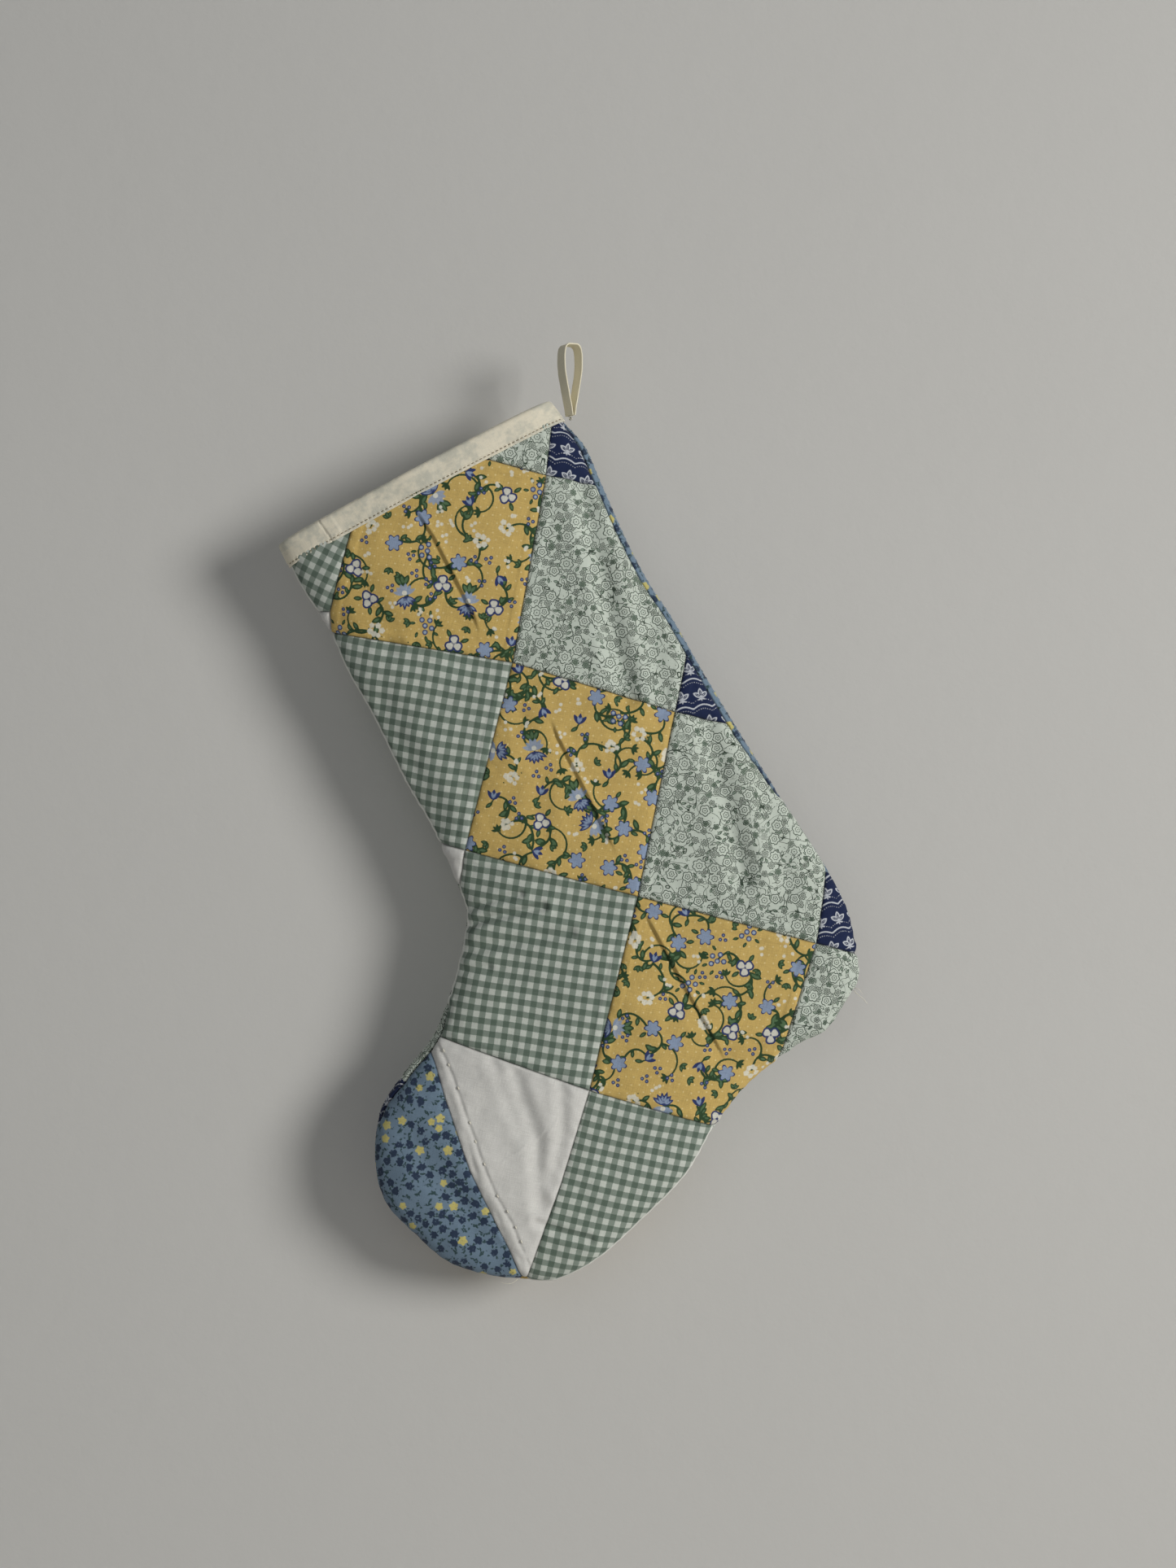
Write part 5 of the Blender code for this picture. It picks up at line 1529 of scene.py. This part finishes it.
def finish_patch(name):
    """Join a patch's parts, turn its edge under and draw its print."""
    parts = PATCHES[name]
    starts = np.cumsum([0] + [len(part[0]) for part in parts])
    plan, xyz, gap, under = (np.concatenate([part[k] for part in parts]) for k in (0, 2, 3, 4))
    tri, border = (np.concatenate([part[k] + start for part, start in zip(parts, starts)])
                   for k in (1, 5))
    # weld the flap to the rest of its patch
    if len(parts) > 1:
        key = np.round(xyz * 2000).astype(np.int64)
        _, first, inverse = np.unique(key, axis=0, return_index=True, return_inverse=True)
        inverse = inverse.ravel()
        plan, xyz, gap, under = plan[first], xyz[first], gap[first], under[first]
        tri, border = inverse[tri], inverse[border]
        tri = tri[(tri[:, 0] != tri[:, 1]) & (tri[:, 1] != tri[:, 2]) & (tri[:, 0] != tri[:, 2])]
        border = border[border[:, 0] != border[:, 1]]
    rim = np.unique(border)
    below = np.full(len(plan), -1)
    below[rim] = len(plan) + np.arange(len(rim))
    # border edges run with the face on their left
    start, end = border[:, 0], border[:, 1]
    quads = np.c_[end, start, below[start], below[end]]
    full_plan = np.concatenate([plan, plan[rim]])
    flat = unroll(full_plan)
    gap = np.concatenate([gap, np.zeros(len(rim))])
    attributes = {"cloth": cloth_attribute(*weave_coordinates(name, flat), gap)}
    word = name.split("_")[1]
    if word == "gingham":
        edge = rim_info(full_plan)[0] if name.startswith("front") else np.full(len(flat), 5.0)
        attributes["side"] = np.c_[edge, edge, edge]
    if word in PRINTS:
        draw, scale, layout = PRINTS[word]
        seed = sum(ord(letter) * (i + 1) for i, letter in enumerate(name))
        ink = draw(flat / scale, seed)
        for key, layers in layout.items():
            attributes[key] = np.column_stack([ink[layer] * scale for layer in layers])
    obj = make_mesh(name + "_cloth", np.concatenate([xyz, under[rim]]), tri, quads, attributes)
    leg = "leg_front" if name.startswith("front") else "leg"
    hang(obj, *CLOTHS[word], [name], "foot" if below_ankle(plan).mean() > 0 else leg)


cut_panel(-1, FRONT_SEAMS, front_patch_at)
cut_panel(1, BACK_SEAMS, back_patch_at)
for patch_name in sorted(PATCHES):
    finish_patch(patch_name)


# ---------------------------------------------------------------------------
# Inner layers
# ---------------------------------------------------------------------------
LAYER_STEP = 2.6
LAYER_TOP = 2.6         # from the cuff line down to the layers' top edge
ANKLE_GAP = 0.2         # from the ankle seam to the edge of each layer half


def layer_plan(setback, half):
    """Triangulated plan of the leg or foot half, set back from the side seam."""
    sign = 1.0 if half == "foot" else -1.0
    xx, zz = np.meshgrid(np.arange(-170.0, 170.0, LAYER_STEP),
                         np.arange(-524.0, 0.0, LAYER_STEP * 0.87))
    xx = xx + (np.arange(len(zz)) % 2)[:, None] * LAYER_STEP / 2
    grid = np.c_[xx.ravel(), zz.ravel()]
    edge = even(RIM, 3.0)
    ring = edge + rim_info(edge)[2] * setback
    ring = ring[rim_info(ring)[0] > setback - 0.3]
    ring = clip_polygon(ring, below_cuff(ring) - LAYER_TOP)
    ring = clip_polygon(ring, sign * below_ankle(ring) - ANKLE_GAP)
    ring = np.concatenate([respace([a, b], LAYER_STEP)[:-1]
                           for a, b in zip(ring, np.roll(ring, -1, axis=0))])
    grid = grid[(rim_info(grid)[0] > setback + LAYER_STEP * 0.6)
                & (below_cuff(grid) > LAYER_TOP + LAYER_STEP * 0.6)
                & (sign * below_ankle(grid) > ANKLE_GAP + LAYER_STEP * 0.5)]
    return triangulate(ring, [], grid)


def thicken(obj, thickness):
    """Give a sheet its thickness as real mesh."""
    solid = obj.modifiers.new("thickness", "SOLIDIFY")
    solid.thickness = thickness
    solid.offset = -1.0
    bpy.context.view_layer.objects.active = obj
    graph = bpy.context.evaluated_depsgraph_get()
    mesh = bpy.data.meshes.new_from_object(obj.evaluated_get(graph), depsgraph=graph)
    obj.modifiers.clear()
    old = obj.data
    obj.data = mesh
    bpy.data.meshes.remove(old)
    mesh.name = obj.name
    mesh.shade_smooth()


def build_layer(name, node, side, half, depth, setback, bumpy, closes, thickness, material, slot):
    """One half of a lining or batting sheet; a closing sheet meets the other side at its edge."""
    verts, tris = layer_plan(setback, half)
    known = field(verts)
    inside = rim_info(verts)[0] - setback
    crumple = 0.35 * waves(verts, 26.0, 31 + side, 8) + 0.12 * waves(verts, 9.0, 32 + side, 8)
    height = -depth + crumple * bumpy * smooth(inside, 0, 8)
    if side < 0:
        height = height - np.maximum(hollow(verts), 0.0)
    if closes:
        share = smooth(-inside + 3.0, 0.0, 3.0)
        height = np.maximum(height, -(loft(known[0]) * 0.93 * share + depth * (1 - share)))
    obj = make_mesh(name, place(verts, side, -height, known), tris[:, ::-1] if side > 0 else tris,
                    [], {"cloth": cloth_attribute(verts[:, 0], verts[:, 1])})
    thicken(obj, thickness)
    leg = "leg_front" if side < 0 else "leg"
    hang(obj, material, slot, [node], "foot" if half == "foot" else leg)


# layer: (end of the object's name, its settings)
LAYERS = {
    "lining": ("cloth", dict(depth=LINING_DEPTH, setback=13.0, bumpy=1.0, closes=True,
                             thickness=0.0006, material=LINING, slot="lining_cloth")),
    "batting": ("wadding", dict(depth=BATTING_DEPTH, setback=11.5, bumpy=0.6, closes=False,
                                thickness=0.0022, material=BATTING, slot="batting")),
}
for word, side in (("front", -1), ("back", 1)):
    for kind, (ending, settings) in LAYERS.items():
        for half in ("leg", "foot"):
            node = f"{word}_{kind}_{half}"
            build_layer(f"{node}_{ending}", node, side, half, **settings)


# ---------------------------------------------------------------------------
# Cuff binding
# ---------------------------------------------------------------------------
STITCH_PITCH = 2.7
STITCH_ROW = 12.9       # topstitching, below the cuff line
BINDING_JOIN = (-136.0, -101.0)

# (distance below the cuff line, depth under the outer face) round the folded strip
BINDING_PROFILE = (
    [(13.2, 0.15), (14.1, -0.05), (14.5, -0.5), (14.45, -1.0), (14.0, -1.3), (13.5, -1.25),
     (12.9, -1.02), (12.3, -1.25)]
    + [(down, -1.45) for down in (11.6, 10.8, 9.6, 8.4, 7.2, 6.0, 4.8, 3.6, 2.6)]
    + [(1.7, -1.38), (1.0, -1.05), (0.45, -0.45), (0.12, 0.4), (0.0, 1.5), (0.0, 2.8),
       (0.0, 4.2), (0.05, 5.6), (0.3, 6.8), (0.9, 7.8), (1.9, 8.35)]
    + [(down, 8.5) for down in (3.2, 4.8, 6.6, 8.4, 10.2, 11.8, 13.2)]
    + [(14.1, 8.5), (14.6, 8.2), (14.7, 7.7), (14.3, 7.4)])


def cuff_span(down):
    """Ends, along the cuff, of a line at a distance below the cuff line."""
    level = below_cuff(FINE_RIM) - down
    hit = np.nonzero(np.sign(level[:-1]) != np.sign(level[1:]))[0]
    share = (level[hit] / (level[hit] - level[hit + 1]))[:, None]
    cross = FINE_RIM[hit] + (FINE_RIM[hit + 1] - FINE_RIM[hit]) * share
    along = (cross - CUFF_MIDDLE) @ CUFF_ALONG
    return along.min(), along.max()


def cuff_points(count, profile, side):
    """Profile points by stations along the cuff, each as x, y, z, along, down."""
    t = np.linspace(0, 1, count)
    share = 0.55 * (0.5 - 0.5 * np.cos(math.pi * t)) + 0.45 * t     # closer toward the ends
    share[0], share[-1] = 0.0, 1.0
    rows = []
    for down, depth in profile:
        left, right = cuff_span(down)
        along = left + share * (right - left)
        points = CUFF_MIDDLE + along[:, None] * CUFF_ALONG + down * CUFF_DOWN
        info = rim_info(points)
        info[0][0] = info[0][-1] = 0.0
        known = field(points, info)
        depths = np.full(count, float(depth))
        if depth > 0:
            soft = known[0]
            limit = 0.80 * loft(soft) / np.maximum(soft / (soft + EDGE_RADIUS) + 0.3, 0.3)
            depths = np.minimum(depths, np.maximum(limit, 0.0))
        # slight unevenness of a hand-sewn strip, and the pull of its stitches
        ease = smooth(along - left, 1.0, 8.0) * smooth(right - along, 1.0, 8.0)
        uneven = (0.16 * waves(np.c_[along, np.full(count, down * 0.6)], 13.0, 41 + side, 8)
                  + 0.22 * waves(np.c_[along, np.full(count, down * 0.3)], 34.0, 43 + side, 6))
        pull = 0.24 * np.sin(2 * math.pi * along / STITCH_PITCH) * bell(down - STITCH_ROW, 1.0)
        outer = 1.0 if depth < 0.2 else 0.3
        depths = depths - outer * ease * (uneven + pull)
        if side < 0:
            # the strip's ends meet in a slanting groove beside a low step
            join = (np.array(BINDING_JOIN) - CUFF_MIDDLE) @ CUFF_ALONG
            off = along - join - (down - 6.0) * 0.12
            step = smooth(off, 0.1, 0.9) * (1 - smooth(off, 6.5, 8.0))
            depths = depths + outer * (0.55 * bell(off, 0.35) - 0.28 * step)
        rows.append(np.c_[place(points, side, depths, known), along, np.full(count, down)])
    return np.array(rows)


def grid_faces(rows, columns):
    i, j = np.meshgrid(np.arange(rows - 1), np.arange(columns - 1), indexing="ij")
    corner = (i * columns + j).ravel()
    return np.c_[corner, corner + 1, corner + columns + 1, corner + columns]


def build_binding():
    stations = 260
    rows = len(BINDING_PROFILE)
    size = rows * stations
    points = np.concatenate([cuff_points(stations, BINDING_PROFILE, side).reshape(-1, 5)
                             for side in (-1, 1)])
    faces = grid_faces(rows, stations)
    quads = np.concatenate([faces, (faces + size)[:, ::-1]])
    # sew the two runs together at the side seams
    ends = (np.arange(rows)[:, None] * stations + [0, stations - 1]).ravel()
    middle = (points[ends, :3] + points[size + ends, :3]) / 2
    middle[:, 1] = 0.0
    points[ends, :3] = middle
    key = np.arange(len(points))
    key[size + ends] = ends
    used, inverse = np.unique(key, return_inverse=True)
    points = points[used]
    obj = make_mesh("cuff_binding_cloth", points[:, :3], [], inverse.ravel()[quads],
                    {"cloth": cloth_attribute(points[:, 3], points[:, 4])})
    hang(obj, BINDING, "binding_cloth", ["front_cuff_binding", "back_cuff_binding"], "leg_front")


build_binding()


# ---------------------------------------------------------------------------
# Threads and stitches
# ---------------------------------------------------------------------------
def tube(path, radii, sides=8):
    """Rings round a path of points in millimetres, with closed ends; points, triangles, quads."""
    path = np.asarray(path, float)
    count = len(path)
    radii = np.broadcast_to(np.asarray(radii, float), (count,))[:, None, None]
    tangent = unit(np.gradient(path, axis=0))
    aside = unit(np.cross(tangent, [0.13, 0.97, 0.21]))
    over = np.cross(aside, tangent)
    angle = np.linspace(0, 2 * math.pi, sides, endpoint=False)[None, :, None]
    rings = path[:, None] + radii * (aside[:, None] * np.cos(angle) + over[:, None] * np.sin(angle))
    points = np.concatenate([rings.reshape(-1, 3), [path[0], path[-1]]])
    here = np.arange(sides)
    after = (here + 1) % sides
    first, last, final_ring = count * sides, count * sides + 1, (count - 1) * sides
    tris = np.concatenate([np.c_[np.full(sides, first), after, here],
                           np.c_[np.full(sides, last), final_ring + here, final_ring + after]])
    return points, tris, tube_sides(count, sides)


def tube_sides(rings, sides):
    """Quads between neighbouring rings of points."""
    i, j = np.meshgrid(np.arange(rings - 1), np.arange(sides), indexing="ij")
    i, j = i.ravel() * sides, j.ravel()
    k = (j + 1) % sides
    return np.c_[i + j, i + k, i + sides + k, i + sides + j]


def join_tubes(name, tubes, material, nodes, body):
    starts = np.cumsum([0] + [len(points) for points, _, _ in tubes])
    xyz = np.concatenate([points for points, _, _ in tubes])
    tris, quads = (np.concatenate([part[k] + start for part, start in zip(tubes, starts)])
                   for k in (1, 2))
    x, z = xyz[:, 0], xyz[:, 2]
    obj = make_mesh(name, xyz, tris, quads, {"cloth": cloth_attribute(x * 1.5 + z, z * 1.5 - x)})
    hang(obj, material, "thread", nodes, body)


def stitches_on(points, pitch, share, radius, sink):
    """Short thread capsules along a dense 3D path, each end dipping into the cloth."""
    length = lengths_along(points)
    bow = np.sin(np.linspace(0, math.pi, 7))
    out = []
    start = 0.6
    while start + pitch * share < length[-1]:
        at = np.linspace(start, start + pitch * share, 7)
        path = np.column_stack([np.interp(at, length, points[:, i]) for i in range(3)])
        path[:, 1] += np.sign(path[:, 1]) * (bow - 1.0) * sink
        out.append(tube(path, radius * (0.45 + 0.55 * bow ** 0.5)))
        start += pitch
    return out


def build_topstitch(word, side, body):
    row = cuff_points(300, [(STITCH_ROW, -1.14)], side)[0][3:-3, :3]
    stitches = stitches_on(row, pitch=STITCH_PITCH, share=0.66, radius=0.3, sink=0.18)
    join_tubes(f"{word}_cuff_topstitch_thread", stitches, STITCH_DARKENED_AS_SHADE,
               [f"{word}_cuff_binding_topstitch"], body)


def build_side_seam():
    """The side seam's own thread, buried inside the seam and split at the ankle."""
    seam = FINE_RIM + FINE_NORMAL * 4.0
    seam = seam[(below_cuff(seam) > 3.0) & (rim_info(seam)[0] > 3.6)][::6]
    breaks = np.nonzero(np.diff((below_ankle(seam) > 0).astype(int)) != 0)[0] + 1
    for run, name, body in zip(np.split(seam, breaks),
                               ("back_edge_seam_thread", "foot_seam_thread",
                                "front_edge_seam_thread"),
                               ("leg", "foot", "leg")):
        run = run[2:-2]
        path = np.c_[run[:, 0], 0.25 * np.sin(np.arange(len(run)) * 1.3), run[:, 1]]
        join_tubes(name + "_twist", [tube(path, 0.3, 6)], THREAD, [name], body)


# Middles of the hand stitches along the toe patch's fold
TOE_STITCHES = [(-69.3, -391.05), (-66.6, -398.7), (-61.2, -411.3), (-54.9, -430.2),
                (-51.75, -440.55), (-46.8, -452.7), (-39.6, -470.25), (-34.2, -478.8),
                (-29.7, -487.8), (-26.55, -495.9)]


def build_toe_stitches():
    reach = np.array([0.42, -0.9])
    stitches = []
    for centre in TOE_STITCHES:
        points = np.array(centre) + np.array([-1.0, -0.5, 0.0, 0.5, 1.0])[:, None] * reach
        path = on_cloth(points, "front_linen_toe", -1)
        path[:, 1] -= (-0.15, 0.28, 0.42, 0.28, -0.15)      # the ends dip into the cloth
        stitches.append(tube(path, [0.16, 0.32, 0.38, 0.32, 0.16]))
    join_tubes("toe_hand_stitch_thread", stitches, THREAD, ["toe_hand_stitch"], "foot")


def loose_end(name, points, radius, nodes, body):
    """A tapering thread end in front of the middle plane."""
    points = smooth_curve(points, 6)
    t = np.linspace(0, 1, len(points))
    path = np.c_[points[:, 0], -0.8 - 1.2 * np.sin(math.pi * t), points[:, 1]]
    join_tubes(name, [tube(path, radius * (1 - 0.45 * t), 6)], THREAD, nodes, body)


build_topstitch("front", -1, "leg_front")
build_topstitch("back", 1, "leg")
build_side_seam()
build_toe_stitches()
loose_end("heel_thread_end", [(157.8, -358.5), (160.4, -361.0), (162.4, -362.4), (165.6, -366.2)],
          0.22, ["heel_thread_tail"], "foot")
loose_end("heel_thread_end_short", [(158.0, -357.0), (160.5, -357.8), (162.6, -360.2)],
          0.18, [], "foot")
loose_end("front_leg_thread_end", [(-76.05, -263.7), (-73.35, -261.9), (-71.55, -264.15),
                                   (-68.85, -260.55)], 0.2, [], "leg_front")
loose_end("toe_thread_end", [(-29.0, -518.8), (-32.0, -520.8), (-35.0, -521.2), (-38.5, -520.6)],
          0.2, ["toe_thread_tail"], "foot")


# ---------------------------------------------------------------------------
# Ribbon loop and bar tack
# ---------------------------------------------------------------------------
TACK_AT = (0.4, -40.6)
LOOP_TURN = math.radians(25.0)
RIBBON_HALF_WIDTH = 5.0
LOOP_TOP = 0.45
# Right half of the loop from its foot to its top: (sideways, z)
LOOP_HALF = [(0.65, -39.0), (0.95, -37.0), (1.2, -35.0), (2.4, -29.0), (3.7, -22.0),
             (4.9, -15.0), (5.25, -9.0), (5.0, -4.0), (4.25, -1.1), (2.6, 0.32), (0.0, LOOP_TOP)]
# Right half of the ribbon's section: (distance in from the edge, half thickness)
RIBBON_EDGE = [(0.0, 0.0), (0.25, 0.34), (0.75, 0.44), (1.3, 0.37), (2.6, 0.36)]


def turned(points):
    """The loop is turned about Z and leans over to the bar tack."""
    x, y, z = points.T
    lean = TACK_AT[0] * z / TACK_AT[1]
    return np.c_[x * math.cos(LOOP_TURN) - y * math.sin(LOOP_TURN) + lean,
                 x * math.sin(LOOP_TURN) + y * math.cos(LOOP_TURN), z]


def build_ribbon():
    right = smooth_curve(LOOP_HALF, 10)
    line = np.concatenate([right, right[::-1][1:] * (-1, 1)])
    line[:, 1] = np.where(np.abs(line[:, 0]) < 2.4, np.minimum(line[:, 1], LOOP_TOP), line[:, 1])
    tangent = unit(np.gradient(line, axis=0))
    normal = np.c_[-tangent[:, 1], tangent[:, 0]]
    length = lengths_along(line)
    # a flat tape with a slightly thicker woven edge
    face = [(inward - RIBBON_HALF_WIDTH, thick) for inward, thick in RIBBON_EDGE]
    face += [(0.0, 0.36)] + [(-y, thick) for y, thick in face[::-1]]
    section = face + [(y, -thick) for y, thick in face[-2:0:-1]]
    points, weave = [], []
    for k in range(len(line)):
        for y, thick in section:
            wide = y * (1.0 + 0.012 * math.sin(length[k] * 0.8))
            x, z = line[k] + normal[k] * thick
            points.append((x, wide, z))
            weave.append((length[k], wide + (20 if thick < 0 else 0), 5.0))
    around_count = len(section)
    fan = np.arange(1, around_count - 1)
    cap = np.c_[np.zeros(len(fan), int), fan, fan + 1]
    caps = np.concatenate([cap[:, ::-1], cap + (len(line) - 1) * around_count])
    obj = make_mesh("hanging_loop_ribbon", turned(np.array(points)), caps,
                    tube_sides(len(line), around_count), {"cloth": weave})
    hang(obj, RIBBON, "ribbon", ["hanging_loop"], "loop")


def build_bar_tack():
    """Rows of tacking thread over the ribbon's ends."""
    radii = 0.26 * (0.6 + 0.4 * np.sin(np.linspace(0, math.pi, 9)))
    y = np.linspace(-2.5, 2.5, 9)
    tubes = []
    for row in range(5):
        x = TACK_AT[0] - 0.72 + 0.36 * row
        rise = 0.558 * math.sin(math.pi * (row + 0.5) / 5)
        for z in (TACK_AT[1] + 0.05 * math.sin(row * 2.0) + rise, TACK_AT[1] - rise):
            tubes.append(tube(np.c_[np.full(9, x), y, np.full(9, z)], radii))
    join_tubes("loop_bar_tack_thread", tubes, THREAD, ["loop_bar_tack"], "tack")


build_ribbon()
build_bar_tack()

# ---------------------------------------------------------------------------
# Stage, in metres: pale wall and floor, soft light, camera
# ---------------------------------------------------------------------------
WALL_Y = 0.042
FLOOR_Z = -0.75
LIGHT_TARGET = (0, 0, -0.25)
CAMERA_DISTANCE = 1.45
VIEW_HEIGHT = 0.867     # seen by the camera at the focus plane
FOCUS_FORWARD = 0.008   # the focus plane, in front of y = 0
scene = bpy.context.scene


def add_plane(name, corners, material):
    mesh = bpy.data.meshes.new(name)
    mesh.from_pydata(corners, [], [(0, 1, 2, 3)])
    obj = bpy.data.objects.new(name, mesh)
    scene.collection.objects.link(obj)
    mesh.materials.append(material)


def show_from_front_only(graph):
    """Clear from behind and to shadow rays."""
    nodes, link = graph.tree.nodes, graph.tree.links.new
    geometry = nodes.new("ShaderNodeNewGeometry")
    path = nodes.new("ShaderNodeLightPath")
    clear = nodes.new("ShaderNodeBsdfTransparent")
    mix = nodes.new("ShaderNodeMixShader")
    graph.feed(mix.inputs[0], graph.maximum(Value(graph, geometry.outputs["Backfacing"]),
                                            Value(graph, path.outputs["Is Shadow Ray"])))
    link(graph.shader.outputs[0], mix.inputs[1])
    link(clear.outputs[0], mix.inputs[2])
    link(mix.outputs[0], nodes["Material Output"].inputs["Surface"])


def paint_material(name, colour):
    """Rolled matt paint, slightly cloudy."""
    graph = Graph(name)
    coordinates, _ = graph.make("ShaderNodeTexCoord", out="Object")
    cloud = graph.noise(coordinates, scale=2.2, detail=3.0)
    grain = graph.noise(coordinates, scale=420.0, detail=3.0)
    roll = graph.noise(coordinates, scale=60.0, detail=2.0)
    shade = 0.965 + cloud * 0.07
    graph.set_shader(
        Base_Color=graph.mix(1.0, colour, graph.pack(shade, shade, shade), "MULTIPLY"),
        Roughness=0.75,
        Specular_IOR_Level=0.2)
    graph.bump(grain * 0.35 + roll, strength=0.25, distance=0.0008)
    return graph


def add_area(name, location, size, power, colour=(1, 1, 1), spread=None):
    light = bpy.data.lights.new(name, "AREA")
    light.shape = "DISK"
    light.size = size
    light.energy = power
    light.color = colour
    if spread is not None:
        light.spread = math.radians(spread)
    obj = bpy.data.objects.new(name, light)
    scene.collection.objects.link(obj)
    obj.location = location
    toward = Vector(LIGHT_TARGET) - Vector(location)
    obj.rotation_euler = toward.to_track_quat("-Z", "Y").to_euler()


def build_world():
    """Dim sky light; plain pale surroundings where a view looks past the floor."""
    world = bpy.data.worlds.new("studio")
    world.use_nodes = True
    nodes, link = world.node_tree.nodes, world.node_tree.links.new
    sky = nodes["Background"]
    sky.inputs["Color"].default_value = (0.80, 0.83, 0.86, 1)
    sky.inputs["Strength"].default_value = 0.2
    pale = nodes.new("ShaderNodeBackground")
    pale.inputs["Color"].default_value = (0.50, 0.50, 0.49, 1)
    choose = nodes.new("ShaderNodeMixShader")
    ray = nodes.new("ShaderNodeLightPath")
    link(ray.outputs["Is Camera Ray"], choose.inputs[0])
    link(sky.outputs[0], choose.inputs[1])
    link(pale.outputs[0], choose.inputs[2])
    link(choose.outputs[0], nodes["World Output"].inputs["Surface"])
    scene.world = world


def add_camera():
    data = bpy.data.cameras.new("camera")
    camera = bpy.data.objects.new("camera", data)
    scene.collection.objects.link(camera)
    camera.location = (0.0101, -CAMERA_DISTANCE, -0.2437)
    camera.rotation_euler = (math.radians(90), 0, 0)
    data.sensor_fit = "VERTICAL"
    data.angle = 2 * math.atan(VIEW_HEIGHT / 2 / (CAMERA_DISTANCE - FOCUS_FORWARD))
    scene.camera = camera


wall_paint = paint_material("wall_paint", (184, 183, 180))
show_from_front_only(wall_paint)
add_plane("wall", [(-3, WALL_Y, FLOOR_Z), (3, WALL_Y, FLOOR_Z), (3, WALL_Y, 2.2),
                   (-3, WALL_Y, 2.2)], wall_paint.mat)
add_plane("floor", [(-2.4, 3.0, FLOOR_Z), (-2.4, -2.5, FLOOR_Z), (3.0, -2.5, FLOOR_Z),
                    (3.0, 3.0, FLOOR_Z)], paint_material("floor_paint", (206, 204, 200)).mat)
add_area("window", location=(2.7, -2.3, 0.35), size=1.35, power=33.0,
         colour=(1.0, 0.985, 0.955), spread=100)
add_area("room_fill", location=(-0.6, -2.4, 0.6), size=2.0, power=6.0, colour=(0.93, 0.97, 1.0))
add_area("behind_fill", location=(0.15, 2.9, 1.3), size=1.6, power=4.4, spread=46)
build_world()
scene.view_settings.view_transform = "Standard"
add_camera()
